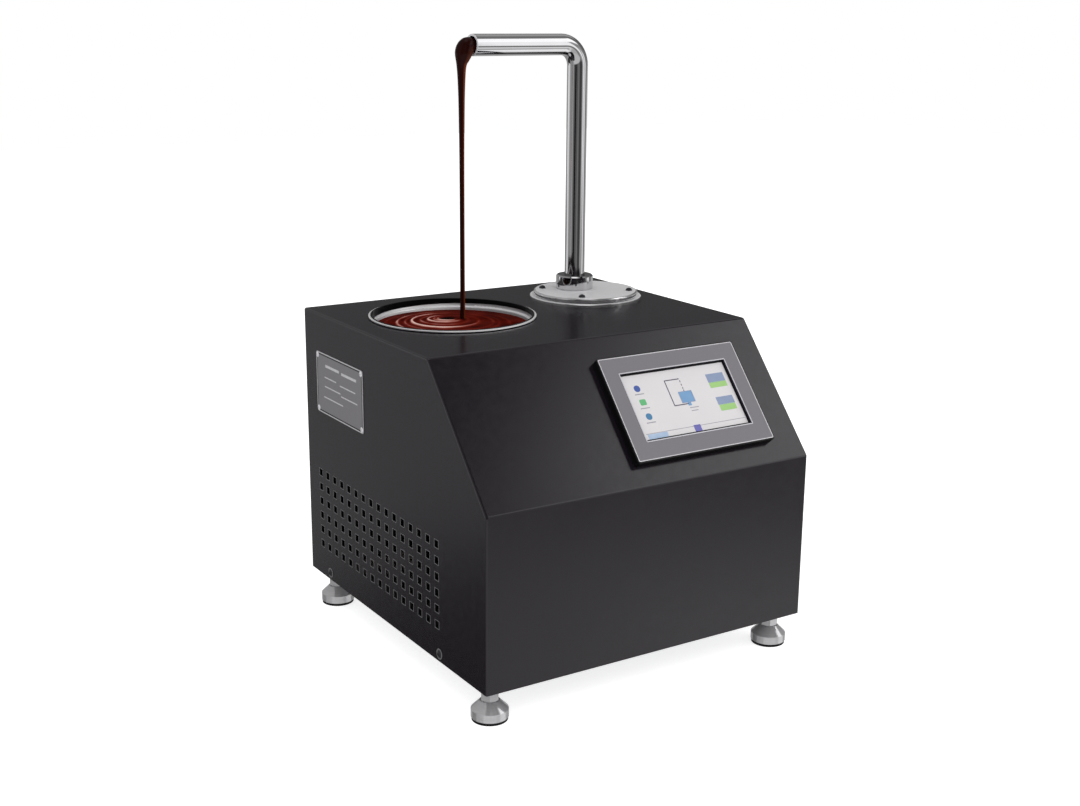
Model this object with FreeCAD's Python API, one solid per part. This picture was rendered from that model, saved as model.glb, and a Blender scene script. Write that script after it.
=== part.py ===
import FreeCAD, Part
import os
from math import asin, atan2, cos, degrees, hypot, radians, sin, sqrt, tan
from FreeCAD import Placement, Rotation, Vector

# Cabinet of folded steel sheet; its lower edge stands foot_h above the worktop
cab_w = 450.0
cab_d = 460.0
cab_h = 352.0
flat_top_d = 332.0
front_h = 205.0
sheet = 1.5
edge_r = 2.5
bend_r = 4.5
seam_in = 14.0
panel_fit = 0.25

# Base tray with a row of air slots, and rear panel
tray_flange = 26.0
tray_slots = 5
tray_slot_w = 6.0
tray_slot_len = 80.0
tray_slot_pitch = 30.0
tray_slot_y = 20.0
rear_inset = 3.0
rear_lip = 12.0
rear_screw_end = 42.0

# Vent pattern of each side, counted from the back and the lower edge
vent = 9.0
vent_cols = 16
vent_rows = 6
vent_pitch_y = 20.8
vent_pitch_z = 19.5
vent_back = 37.0
vent_low = 44.0

# Button head screws of the cabinet; the side screws sit near the lower edge
screw_back = 58.0
screw_front = 106.0
screw_up = 9.5
button_r = 4.75
button_h = 2.4
button_edge = 0.5
button_shank_r = 2.5
button_len = 9.0
hex_key = 3.0
key_floor = 0.9

# Rating plate, left bare
plate_w = 134.0
plate_h = 79.0
plate_t = 0.8
plate_back = 34.5
plate_down = 48.5
plate_round = 4.0
rivet_in = 4.8
rivet_r = 3.4
rivet_h = 1.3
rivet_edge = 0.4
rivet_bore_r = 1.3

# Bowl sunk in the flat top; its centre keeps its share of the half width and half depth
bowl_ratio_x = -0.385
bowl_ratio_y = 0.388
bowl_rim_r = 105.0
bowl_mouth_r = 101.0
bowl_wall_r = 97.0
bowl_t = 1.5
bowl_rim_h = 1.5
bowl_rim_round = 0.7
bowl_ledge = 7.0
bowl_step_r = 1.8
bowl_depth = 150.0
bowl_corner_r = 20.0
bowl_hole_gap = 0.8
gasket_t = 1.0
gasket_w = 1.4
gasket_in = 0.2

# Band heater and insulation round the bowl
heater_t = 3.5
heater_low = 92.0
heater_high = 32.0
wrap_t = 15.0
wrap_low = 142.0
wrap_high = 14.0

# Duct from the bowl to the pump
duct_r = 20.0
duct_t = 2.0
duct_down = 116.0
weld_gap = 0.1

# Pump under the stepped round flange, placed as the bowl is
pump_ratio_x = 0.573
pump_ratio_y = 0.487
barrel_r = 38.0
barrel_t = 4.0
barrel_len = 163.0
barrel_flange_r = 50.0
barrel_flange_t = 6.0
low_disc_r = 74.4
low_disc_t = 3.5
low_disc_bevel = 0.6
disc_gasket_r = 67.0
disc_gasket_t = 1.0
top_disc_r = 69.0
top_disc_t = 6.0
top_disc_round = 2.6
disc_screw_r = 58.0
disc_screw_angle = 51.5
disc_head_r = 4.3
disc_head_h = 3.8
disc_head_edge = 1.3
disc_shank_r = 2.5
disc_screw_len = 14.0
auger_boss_r = 11.0
auger_boss_h = 10.0

# Auger
auger_r = 33.2
auger_shaft_r = 8.0
auger_pin_r = 5.0
auger_pin_h = 8.0
auger_pitch = 38.0
auger_turns = 3.6
auger_flight_t = 4.0
auger_low_gap = 6.0
auger_root = 1.0

# Drive below the barrel
pump_base_r = 50.0
pump_base_t = 10.0
lantern_r = 46.0
lantern_t = 6.0
lantern_h = 38.0
lantern_window_w = 34.0
lantern_window_h = 22.0
coupling_r = 16.0
coupling_h = 30.0
coupling_grip = 12.0
stub_r = 6.0
stub_len = 16.0
gearbox_w = 82.0
gearbox_h = 44.0
gearbox_round = 8.0
motor_r = 34.0
motor_h = 64.0
motor_round = 3.0
motor_fins = 18
motor_fin_t = 2.0
motor_fin_out = 2.5
motor_fin_h = 45.0
motor_fin_top = 6.5
run_fit = 0.06
seat_gap = 0.3

# Delivery pipe, its collar beside the pump's axis, and the arm
pipe_off_x = -8.0
pipe_off_y = 15.0
pipe_r = 13.45
pipe_wall = 1.5
pipe_bend_r = 27.0
arm_up = 328.5
arm_angle = 184.0
arm_len = 163.5
collar_r = 24.7
collar_h = 19.0
collar_chamfer = 1.6
ring_r = 17.0
ring_h = 3.0

# Stirrer in the bowl and its drive
boss_r = 24.0
boss_h = 20.0
stir_shaft_r = 6.0
stir_hub_r = 12.0
stir_hub_h = 22.0
stir_hub_round = 3.0
stir_arms = 3
stir_arm_r = 84.0
stir_arm_t = 3.0
stir_arm_h = 16.0
stir_lean = 20.0
stir_gap = 4.0
stir_flange_w = 60.0
stir_flange_t = 6.0
stir_gear_r = 28.0
stir_gear_h = 34.0
stir_motor_r = 23.0
stir_motor_h = 46.0
stir_stub = 14.0

# Touch panel on the slope; its centre is set from the right side and the slope's lower end
hmi_in = 145.5
hmi_up = 93.2
hmi_w = 201.0
hmi_h = 136.0
hmi_t = 10.0
hmi_round = 3.0
hmi_bevel = 0.8
screen_w = 157.0
screen_h = 90.5
screen_up = 0.5
screen_sunk = 4.0
screen_t = 2.0
screen_fit = 0.2
hmi_lip = 7.0
hmi_body_d = 30.0
hmi_body_round = 6.0
hmi_cut_gap = 1.0
clamp_w = 12.0
clamp_t = 6.0
clamp_h = 10.0

# Levelling feet
foot_h = 43.5
foot_in_x = 22.0
foot_in_y = 30.0
pad_r = 20.6
pad_h = 3.5
cup_r = 21.4
cup_band = 13.0
cup_top = 23.0
cup_neck_r = 11.4
groove_r = 9.6
groove_h = 1.2
neck_flats = 19.4
neck_top = 34.0
stem_r = 5.0
stem_up = 30.0
stem_bevel = 1.0
locknut_flats = 17.0
locknut_h = 5.0
weldnut_r = 10.0
weldnut_h = 9.0

# Fan behind a round of slots in the rear panel
fan_in = 105.0
fan_z = 96.0
fan_w = 80.0
fan_t = 25.0
fan_round = 5.0
fan_bore_r = 36.0
fan_hub_r = 15.0
fan_hub_t = 4.0
fan_pin_r = 2.0
fan_spokes = 3
fan_spoke_w = 3.0
fan_spoke_turn = 30.0
fan_blades = 7
fan_blade_t = 2.0
fan_blade_in = 1.0
fan_blade_twist = 35.0
fan_tip_gap = 1.0
fan_slot_w = 6.0
fan_slot_pitch = 11.0
fan_slot_r = 34.0

# Louvre slots of the rear panel
louvre_in = 135.0
louvre_down = 142.0
louvre_w = 120.0
louvre_h = 5.0
louvre_pitch = 14.0
louvre_count = 6

# Mains inlet
inlet_in = 75.0
inlet_z = 55.0
inlet_w = 48.0
inlet_h = 30.0
inlet_lip = 2.0
inlet_round = 3.0
inlet_body_w = 28.0
inlet_body_h = 22.0
inlet_body_d = 24.0
socket_w = 24.0
socket_h = 17.0
socket_d = 17.0
pin_w = 4.0
pin_t = 2.0
pin_len = 14.0
pin_side = 7.0
pin_drop = 4.0
pin_rise = 1.0

# Power rocker beside the inlet
switch_from_inlet = 55.0
switch_w = 30.0
switch_h = 22.0
switch_lip = 2.0
switch_wall = 1.5
switch_d = 18.0
rocker_tilt = 8.0
rocker_gap = 0.4
rocker_end_gap = 1.4
rocker_sunk = 4.0
rocker_rise = 4.5
rocker_dish = 1.2
rocker_dish_r = 24.0
rocker_pin_r = 1.5

# Electrics on the tray, each set from the sides that it stands by
psu_in_x = 105.0
psu_in_y = 90.0
psu_w = 160.0
psu_d = 98.0
psu_h = 42.0
psu_slots = 9
psu_slot_w = 6.0
psu_slot_pitch = 16.0
psu_slot_len = 49.0
psu_slot_deep = 1.5
driver_x = 40.0
driver_in_y = 80.0
driver_w = 96.0
driver_d = 70.0
driver_h = 34.0
driver_grooves = 8
driver_groove_w = 5.0
driver_groove_pitch = 11.0
driver_groove_deep = 8.0
relay_in_x = 75.0
relay_in_y = 80.0
relay_w = 60.0
relay_d = 45.0
relay_h = 28.0
relay_round = 2.0
block_in_x = 75.0
block_in_y = 70.0
block_w = 84.0
block_d = 20.0
block_h = 18.0
block_wells = 6
block_well_r = 3.0
block_well_pitch = 13.6
block_well_deep = 5.0

# Cutters run this far past a face; edges are picked this close to a plane
past = 10.0
near = 0.01

z_cab = foot_h
z_top = foot_h + cab_h
z_tray = z_cab + sheet
half_w = cab_w / 2
half_d = cab_d / 2
y_slope = half_d - flat_top_d
slope_angle = atan2(cab_h - front_h, y_slope + half_d)
y_rear = half_d - rear_inset
z_under = z_top - sheet
bowl_x = bowl_ratio_x * half_w
bowl_y = bowl_ratio_y * half_d
pump_x = pump_ratio_x * half_w
pump_y = pump_ratio_y * half_d
pipe_x = pump_x + pipe_off_x
pipe_y = pump_y + pipe_off_y
z_disc_low = z_top + low_disc_t
z_disc_seal = z_disc_low + disc_gasket_t
z_disc_top = z_disc_seal + top_disc_t
z_auger_boss = z_disc_seal - auger_boss_h
z_barrel_low = z_under - barrel_len
z_base_low = z_barrel_low - pump_base_t
z_lantern_low = z_base_low - lantern_h
z_gear_low = z_lantern_low - gearbox_h
z_coupling = z_base_low - seat_gap
z_stub = z_coupling - coupling_h - stub_len
z_bowl_floor = z_top - bowl_depth
z_bowl_under = z_bowl_floor - bowl_t
z_boss_low = z_bowl_under - boss_h
barrel_bore = barrel_r - barrel_t
pipe_bore = pipe_r - pipe_wall
z_arm = z_top + arm_up
hmi_body_w = hmi_w - 2 * hmi_lip
hmi_body_h = hmi_h - 2 * hmi_lip
inlet_x = -half_w + inlet_in
switch_x = inlet_x + switch_from_inlet
fan_x = half_w - fan_in
along_x = Vector(1, 0, 0)
along_y = Vector(0, 1, 0)
up = Vector(0, 0, 1)


def box(x0, x1, y0, y1, z0, z1):
    return Part.makeBox(x1 - x0, y1 - y0, z1 - z0, Vector(x0, y0, z0))


def block(x, y, w, d, z0, z1):
    # Box with its centre at x, y
    return box(x - w / 2, x + w / 2, y - d / 2, y + d / 2, z0, z1)


def plate(x, z, w, h, y0, y1):
    # Box with its centre at x, z
    return box(x - w / 2, x + w / 2, y0, y1, z - h / 2, z + h / 2)


def cyl(x, y, z0, z1, r):
    return Part.makeCylinder(r, z1 - z0, Vector(x, y, z0), up)


def tube(x, y, z0, z1, r, bore):
    return cyl(x, y, z0, z1, r).cut(cyl(x, y, z0 - past, z1 + past, bore))


def hexagon(x, y, z0, z1, flats):
    points = []
    for i in range(7):
        a = radians(60 * i)
        points.append(Vector(x + flats / sqrt(3) * cos(a), y + flats / sqrt(3) * sin(a), z0))
    return Part.Face(Part.makePolygon(points)).extrude(Vector(0, 0, z1 - z0))


def turned(x, y, points):
    # Revolve a closed outline of (radius, height) points about a vertical axis
    outline = [Vector(x + r, y, z) for r, z in points]
    outline.append(outline[0])
    return Part.Face(Part.makePolygon(outline)).revolve(Vector(x, y, 0), up, 360)


def fused(shapes):
    return shapes[0].multiFuse(shapes[1:]).removeSplitter()


def edges(shape, test):
    # Edges whose bounding box passes the test
    return [edge for edge in shape.Edges if test(edge.BoundBox)]


def save(name, shape):
    shape.exportStep(os.path.join("parts", name + ".step"))


def cross(a, b):
    return a[0] * b[1] - a[1] * b[0]


def inset(points, gaps):
    # Move each side of a convex outline inwards by its own gap
    n = len(points)
    lines = []
    for i in range(n):
        a = points[i]
        b = points[(i + 1) % n]
        length = hypot(b[0] - a[0], b[1] - a[1])
        d = ((b[0] - a[0]) / length, (b[1] - a[1]) / length)
        lines.append(((a[0] - d[1] * gaps[i], a[1] + d[0] * gaps[i]), d))
    result = []
    for i in range(n):
        p, d = lines[i - 1]
        q, e = lines[i]
        t = cross((q[0] - p[0], q[1] - p[1]), e) / cross(d, e)
        result.append((p[0] + d[0] * t, p[1] + d[1] * t))
    return result


def rounded_face(points, radii):
    # Closed outline with an arc at each corner that has a radius
    n = len(points)
    starts = []
    mids = []
    ends = []
    for i in range(n):
        d = (points[i] - points[i - 1]).normalize()
        e = (points[(i + 1) % n] - points[i]).normalize()
        half = d.getAngle(e) / 2
        starts.append(points[i] - d * radii[i] * tan(half))
        ends.append(points[i] + e * radii[i] * tan(half))
        mids.append(points[i] + (e - d).normalize() * radii[i] * (1 / cos(half) - 1))
    parts = []
    for i in range(n):
        if radii[i] > 0:
            parts.append(Part.Arc(starts[i], mids[i], ends[i]).toShape())
        parts.append(Part.LineSegment(ends[i], starts[(i + 1) % n]).toShape())
    return Part.Face(Part.Wire(parts))


def cabinet_outline():
    # Side view of the cabinet as (y, z): bottom, back, flat top, slope, upright front
    return [
        (-half_d, z_cab),
        (half_d, z_cab),
        (half_d, z_top),
        (y_slope, z_top),
        (-half_d, z_cab + front_h),
    ]


def cabinet_profile(gaps, corner, x):
    # Side view moved in by its gaps, with the two front bends rounded
    points = [Vector(x, y, z) for y, z in inset(cabinet_outline(), gaps)]
    return rounded_face(points, [0, 0, 0, corner, corner])


def cabinet_block(gaps, half, corner, side_round):
    profile = cabinet_profile(gaps, corner, -half)
    body = profile.extrude(Vector(2 * half, 0, 0))
    low = body.BoundBox.ZMin + near
    back = body.BoundBox.YMax - near
    return body.makeFillet(side_round, edges(
        body, lambda b: b.XLength < near and b.ZMax > low and b.YMin < back))


def side_region(side):
    # Slab that holds one side panel, inside the cover's folded margin
    inner = half_w - sheet
    x = inner if side > 0 else -inner - past
    gaps = [-past, -past, seam_in, seam_in, seam_in]
    return cabinet_profile(gaps, bend_r, x).extrude(Vector(past, 0, 0))


def slope_place():
    # Frame with X across, Y up the slope and Z out of it, at the panel's centre
    y = -half_d + hmi_up * cos(slope_angle)
    z = z_cab + front_h + hmi_up * sin(slope_angle)
    return Placement(Vector(half_w - hmi_in, y, z), Rotation(along_x, degrees(slope_angle)))


def on_slope(shape):
    placed = shape.copy()
    placed.Placement = slope_place().multiply(shape.Placement)
    return placed


def vent_cutters(side):
    cutters = []
    for i in range(vent_cols):
        for j in range(vent_rows):
            y = half_d - vent_back - i * vent_pitch_y
            z = z_cab + vent_low + j * vent_pitch_z
            hole = block(side * half_w, y, 2 * past, vent, z - vent / 2, z + vent / 2)
            cutters.append(hole)
    return cutters


def side_screw_spots():
    spots = []
    for side in (-1, 1):
        for y in (half_d - screw_back, -half_d + screw_front):
            spots.append((side, y, z_cab + screw_up))
    return spots


def side_screw_holes():
    holes = []
    for side, y, z in side_screw_spots():
        start = Vector(side * half_w - past, y, z)
        holes.append(Part.makeCylinder(button_shank_r, 2 * past, start, along_x))
    return holes


def make_cabinet():
    outer = cabinet_block([0, 0, 0, 0, 0], half_w, bend_r, edge_r)
    gaps = [-past, -past, sheet, sheet, sheet]
    inner = cabinet_block(gaps, half_w - sheet, bend_r - sheet, edge_r - sheet)
    shell = outer.cut(inner)
    for side, name in ((-1, "cabinet_side_left"), (1, "cabinet_side_right")):
        region = side_region(side)
        cutters = Part.makeCompound(vent_cutters(side) + side_screw_holes())
        save(name, shell.common(region).cut(cutters))
        shell = shell.cut(region)
    z0 = z_top - past
    z1 = z_top + past
    panel_w = hmi_body_w + 2 * hmi_cut_gap
    panel_h = hmi_body_h + 2 * hmi_cut_gap
    openings = [
        cyl(bowl_x, bowl_y, z0, z1, bowl_mouth_r + bowl_t + bowl_hole_gap),
        cyl(pump_x, pump_y, z0, z1, barrel_bore),
        on_slope(block(0, 0, panel_w, panel_h, -past, past)),
    ]
    save("cabinet_cover", shell.cut(Part.makeCompound(openings + disc_screw_holes())))


def foot_spots():
    x = half_w - foot_in_x
    y = half_d - foot_in_y
    return {"fl": (-x, -y), "fr": (x, -y), "bl": (-x, y), "br": (x, y)}


def make_tray():
    w = half_w - sheet - panel_fit
    y0 = -half_d + sheet + panel_fit
    y1 = y_rear - sheet - panel_fit
    z1 = z_cab + tray_flange
    outer = box(-w, w, y0, y1, z_cab, z1)
    inner = box(-w + sheet, w - sheet, y0 + sheet, y1 - sheet, z_tray, z1 + past)
    cutters = side_screw_holes()
    for x, y in foot_spots().values():
        cutters.append(cyl(x, y, z_cab - past, z_tray + past, stem_r + 2 * run_fit))
    for i in range(tray_slots):
        x = tray_slot_pitch * (i - (tray_slots - 1) / 2)
        slot = block(x, tray_slot_y, tray_slot_w, tray_slot_len, z_cab - past, z_tray + past)
        cutters.append(slot)
    save("base_tray", outer.cut(inner).cut(Part.makeCompound(cutters)))
    nuts = []
    for x, y in foot_spots().values():
        nuts.append(tube(x, y, z_tray, z_tray + weldnut_h, weldnut_r, stem_r + run_fit))
    save("foot_weld_nuts", Part.makeCompound(nuts))


def dome(r, h, edge):
    # Domed head: upright edge, then a part of a sphere to its top
    rise = h - edge
    dome_r = (r ** 2 + rise ** 2) / (2 * rise)
    half = asin(r / dome_r) / 2
    centre = Vector(0, 0, h - dome_r)
    foot = Vector(r, 0, 0)
    shoulder = Vector(r, 0, edge)
    top = Vector(0, 0, h)
    mid = centre + Vector(dome_r * sin(half), 0, dome_r * cos(half))
    outline = Part.Wire([
        Part.LineSegment(Vector(0, 0, 0), foot).toShape(),
        Part.LineSegment(foot, shoulder).toShape(),
        Part.Arc(shoulder, mid, top).toShape(),
        Part.LineSegment(top, Vector(0, 0, 0)).toShape(),
    ])
    return Part.Face(outline).revolve(Vector(0, 0, 0), up, 360)


def screw(base, axis, head, shank_r, length):
    # Domed head with a hexagon socket on its base point, shank into the piece
    r, h, edge = head
    body = dome(r, h, edge).fuse(cyl(0, 0, -length, edge, shank_r - run_fit))
    body = body.cut(hexagon(0, 0, key_floor, h + past, hex_key))
    body.Placement = Placement(base, Rotation(up, axis))
    return body


def button_screw(base, axis):
    return screw(base, axis, (button_r, button_h, button_edge), button_shank_r, button_len)


def make_shell_screws():
    screws = []
    for side, y, z in side_screw_spots():
        screws.append(button_screw(Vector(side * half_w, y, z), along_x * side))
    save("shell_screws", Part.makeCompound(screws))


def make_nameplate():
    x = -half_w - plate_t
    y1 = half_d - plate_back
    y0 = y1 - plate_w
    z1 = z_top - plate_down
    z0 = z1 - plate_h
    plate = box(x, -half_w, y0, y1, z0, z1)
    corners = edges(plate, lambda b: b.XLength > plate_t - near)
    save("nameplate", plate.makeFillet(plate_round, corners))
    rivets = []
    for y in (y0 + rivet_in, y1 - rivet_in):
        for z in (z0 + rivet_in, z1 - rivet_in):
            head = dome(rivet_r, rivet_h, rivet_edge).cut(cyl(0, 0, 0, past, rivet_bore_r))
            head.Placement = Placement(Vector(x, y, z), Rotation(up, -along_x))
            rivets.append(head)
    save("nameplate_rivets", Part.makeCompound(rivets))


def bowl_solid(grow, top):
    # Solid with the bowl's inner form, grown outwards by a wall
    mouth = bowl_mouth_r + grow
    wall = bowl_wall_r + grow
    ledge = z_top - bowl_ledge - grow
    floor = z_bowl_floor - grow
    outline = [(0, top), (mouth, top), (mouth, ledge), (wall, ledge), (wall, floor), (0, floor)]
    points = [Vector(bowl_x + r, bowl_y, z) for r, z in outline]
    radii = [0, 0, bowl_step_r + grow, bowl_step_r - grow, bowl_corner_r + grow, 0]
    return rounded_face(points, radii).revolve(Vector(bowl_x, bowl_y, 0), up, 360)


def duct_rod(r):
    start = Vector(bowl_x, bowl_y, z_top - duct_down)
    run = Vector(pump_x, pump_y, z_top - duct_down) - start
    return Part.makeCylinder(r, run.Length, start, run)


def make_bowl():
    z_seat = z_top + gasket_t
    z_rim = z_seat + bowl_rim_h
    rim = cyl(bowl_x, bowl_y, z_seat, z_rim, bowl_rim_r)
    rim = rim.makeFillet(bowl_rim_round, edges(rim, lambda b: b.ZMin > z_rim - near))
    bowl = bowl_solid(bowl_t, z_rim).fuse(rim).cut(bowl_solid(0, z_rim + past))
    bowl = bowl.cut(duct_rod(duct_r - duct_t))
    z0 = z_bowl_under - past
    bowl = bowl.cut(cyl(bowl_x, bowl_y, z0, z_bowl_floor + past, stir_shaft_r + run_fit))
    save("bowl", bowl)
    seal_r = bowl_rim_r - gasket_in
    save("bowl_gasket", tube(bowl_x, bowl_y, z_top, z_seat, seal_r, seal_r - gasket_w))
    r0 = bowl_wall_r + bowl_t + weld_gap
    r1 = r0 + heater_t + seat_gap
    heater = tube(bowl_x, bowl_y, z_top - heater_low, z_top - heater_high, r0 + heater_t, r0)
    save("bowl_heater", heater)
    wrap = tube(bowl_x, bowl_y, z_top - wrap_low, z_top - wrap_high, r1 + wrap_t, r1)
    save("bowl_insulation", wrap.cut(duct_rod(duct_r + weld_gap)))
    save("bowl_boss", tube(bowl_x, bowl_y, z_boss_low, z_bowl_under, boss_r, stir_shaft_r + run_fit))


def make_duct():
    duct = duct_rod(duct_r).cut(duct_rod(duct_r - duct_t))
    duct = duct.cut(bowl_solid(bowl_t + weld_gap, z_top))
    duct = duct.cut(cyl(pump_x, pump_y, z_barrel_low, z_top, barrel_r + weld_gap))
    save("outlet_duct", duct)


def make_barrel():
    z_low_flange = z_barrel_low + barrel_flange_t
    barrel = fused([
        cyl(pump_x, pump_y, z_barrel_low, z_under, barrel_r),
        cyl(pump_x, pump_y, z_under - barrel_flange_t, z_under, barrel_flange_r),
        cyl(pump_x, pump_y, z_barrel_low, z_low_flange, barrel_flange_r),
    ])
    bore = cyl(pump_x, pump_y, z_barrel_low - past, z_under + past, barrel_bore)
    save("pump_barrel", barrel.cut(bore).cut(duct_rod(duct_r - duct_t)))


def disc_screw_spots():
    spots = []
    for i in range(4):
        a = radians(disc_screw_angle + 90 * i)
        spots.append((pump_x + disc_screw_r * cos(a), pump_y + disc_screw_r * sin(a)))
    return spots


def disc_screw_holes():
    z0 = z_under - past
    return [cyl(x, y, z0, z_disc_top + past, disc_shank_r) for x, y in disc_screw_spots()]


def make_flange():
    holes = Part.makeCompound(disc_screw_holes())
    low = cyl(pump_x, pump_y, z_top, z_disc_low, low_disc_r)
    low = low.makeChamfer(low_disc_bevel, edges(low, lambda b: b.ZMin > z_disc_low - near))
    bore = cyl(pump_x, pump_y, z_top - past, z_disc_top, barrel_bore)
    save("flange_lower", low.cut(bore).cut(holes))
    seal = tube(pump_x, pump_y, z_disc_low, z_disc_seal, disc_gasket_r, barrel_bore)
    save("flange_gasket", seal.cut(holes))
    disc = cyl(pump_x, pump_y, z_disc_seal, z_disc_top, top_disc_r)
    disc = disc.makeFillet(top_disc_round, edges(disc, lambda b: b.ZMin > z_disc_top - near))
    boss = cyl(pump_x, pump_y, z_auger_boss, z_disc_top, auger_boss_r)
    z_pin = z_auger_boss + auger_pin_h + seat_gap
    upper = disc.fuse(boss).cut(holes)
    upper = upper.cut(cyl(pump_x, pump_y, z_auger_boss - past, z_pin, auger_pin_r + run_fit))
    upper = upper.cut(cyl(pipe_x, pipe_y, z_auger_boss - past, z_disc_top + past, pipe_bore))
    save("flange_upper", upper)
    screws = []
    head = (disc_head_r, disc_head_h, disc_head_edge)
    for x, y in disc_screw_spots():
        screws.append(screw(Vector(x, y, z_disc_top), up, head, disc_shank_r, disc_screw_len))
    save("flange_screws", Part.makeCompound(screws))


def make_collar():
    z1 = z_disc_top + collar_h
    collar = cyl(pipe_x, pipe_y, z_disc_top, z1, collar_r)
    collar = collar.makeChamfer(collar_chamfer, edges(collar, lambda b: b.ZLength < near))
    bore = cyl(pipe_x, pipe_y, z_disc_top - past, z1 + past, pipe_r + run_fit)
    pocket_top = z_disc_top + ring_h + 2 * seat_gap
    pocket = cyl(pipe_x, pipe_y, z_disc_top - past, pocket_top, ring_r + seat_gap)
    save("spout_collar", collar.cut(bore).cut(pocket))


def pipe_path():
    # Upright leg, quarter bend and level arm
    a = radians(arm_angle)
    out = Vector(cos(a), sin(a), 0)
    foot = Vector(pipe_x, pipe_y, z_disc_top + seat_gap)
    corner = Vector(pipe_x, pipe_y, z_arm)
    bend_low = corner - up * pipe_bend_r
    bend_high = corner + out * pipe_bend_r
    centre = bend_low + out * pipe_bend_r
    mid = centre + (up - out).normalize() * pipe_bend_r
    return Part.Wire([
        Part.LineSegment(foot, bend_low).toShape(),
        Part.Arc(bend_low, mid, bend_high).toShape(),
        Part.LineSegment(bend_high, corner + out * arm_len).toShape(),
    ])


def swept(r):
    path = pipe_path()
    start = path.Vertexes[0].Point
    ring = Part.Wire([Part.Circle(start, up, r).toShape()])
    return path.makePipeShell([ring], True, True)


def make_pipe():
    z0 = z_disc_top + seat_gap
    ring = cyl(pipe_x, pipe_y, z0, z0 + ring_h, ring_r)
    save("delivery_pipe", swept(pipe_r).fuse(ring).cut(swept(pipe_bore)))


def auger_flight():
    # Square section swept along a helix whose root lies inside the shaft
    root_r = auger_shaft_r - auger_root
    half = auger_flight_t / 2
    helix = Part.makeHelix(auger_pitch, auger_pitch * auger_turns, root_r)
    corners = [(root_r, -half), (auger_r, -half), (auger_r, half), (root_r, half)]
    points = [Vector(r, 0, z) for r, z in corners]
    profile = Part.makePolygon(points + points[:1])
    flight = Part.Wire(helix.Edges).makePipeShell([Part.Wire(profile.Edges)], True, True)
    flight.translate(Vector(pump_x, pump_y, z_barrel_low + auger_low_gap + half))
    return flight


def make_auger():
    z_shaft_top = z_auger_boss - seat_gap
    shaft = fused([
        cyl(pump_x, pump_y, z_base_low - coupling_grip, z_shaft_top, auger_shaft_r),
        cyl(pump_x, pump_y, z_base_low, z_auger_boss + auger_pin_h, auger_pin_r),
    ])
    save("auger", shaft.fuse(auger_flight()))


def make_pump_drive():
    base = tube(pump_x, pump_y, z_base_low, z_barrel_low, pump_base_r, auger_shaft_r + run_fit)
    save("pump_base", base)
    lantern = tube(pump_x, pump_y, z_lantern_low, z_base_low, lantern_r, lantern_r - lantern_t)
    zm = (z_lantern_low + z_base_low) / 2
    hh = lantern_window_h / 2
    window = block(pump_x, pump_y, 3 * lantern_r, lantern_window_w, zm - hh, zm + hh)
    save("pump_lantern", lantern.cut(window))
    gear = block(pump_x, pump_y, gearbox_w, gearbox_w, z_gear_low, z_lantern_low)
    gear = gear.makeFillet(gearbox_round, edges(gear, lambda b: b.XLength + b.YLength < near))
    bore = cyl(pump_x, pump_y, z_stub - seat_gap, z_lantern_low + past, stub_r + run_fit)
    save("pump_gearbox", gear.cut(bore))
    save("pump_motor", pump_motor())
    hub = cyl(pump_x, pump_y, z_coupling - coupling_h, z_coupling, coupling_r)
    z_socket = z_base_low - coupling_grip - run_fit
    socket = cyl(pump_x, pump_y, z_socket, z_coupling + past, auger_shaft_r + run_fit)
    stub = cyl(pump_x, pump_y, z_stub, z_socket - run_fit, stub_r)
    save("pump_coupling", fused([hub.cut(socket), stub]))


def pump_motor():
    z0 = z_gear_low - motor_h
    motor = cyl(pump_x, pump_y, z0, z_gear_low, motor_r)
    motor = motor.makeFillet(motor_round, edges(motor, lambda b: b.ZMax < z0 + near))
    z1 = z_gear_low - motor_fin_top
    parts = [motor]
    for i in range(motor_fins):
        reach = motor_r + motor_fin_out
        fin = box(pump_x, pump_x + reach, pump_y - motor_fin_t / 2, pump_y + motor_fin_t / 2,
                  z1 - motor_fin_h, z1)
        fin.rotate(Vector(pump_x, pump_y, 0), up, 360 * i / motor_fins)
        parts.append(fin)
    return fused(parts)


def make_stirrer():
    z_low = z_bowl_floor + stir_gap
    z_shaft = z_boss_low - stir_stub
    hub = cyl(0, 0, 0, stir_hub_h, stir_hub_r)
    hub = hub.makeFillet(stir_hub_round, edges(hub, lambda b: b.ZMin > stir_hub_h - near))
    parts = [hub, cyl(0, 0, z_shaft - z_low, stir_hub_h / 2, stir_shaft_r)]
    for i in range(stir_arms):
        arm = box(0, stir_arm_r, -stir_arm_t / 2, stir_arm_t / 2, 0, stir_arm_h)
        arm.rotate(Vector(0, 0, 0), along_x, stir_lean)
        arm.translate(Vector(0, 0, stir_arm_t))
        arm.rotate(Vector(0, 0, 0), up, 360 * i / stir_arms)
        parts.append(arm)
    stirrer = fused(parts)
    stirrer.translate(Vector(bowl_x, bowl_y, z_low))
    save("stirrer", stirrer)
    z_flange = z_boss_low - stir_flange_t
    z_gear = z_flange - stir_gear_h
    drive = fused([
        block(bowl_x, bowl_y, stir_flange_w, stir_flange_w, z_flange, z_boss_low),
        cyl(bowl_x, bowl_y, z_gear, z_flange, stir_gear_r),
        cyl(bowl_x, bowl_y, z_gear - stir_motor_h, z_gear, stir_motor_r),
    ])
    bore = cyl(bowl_x, bowl_y, z_shaft - seat_gap, z_boss_low + past, stir_shaft_r + run_fit)
    save("stirrer_gearmotor", drive.cut(bore))


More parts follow.
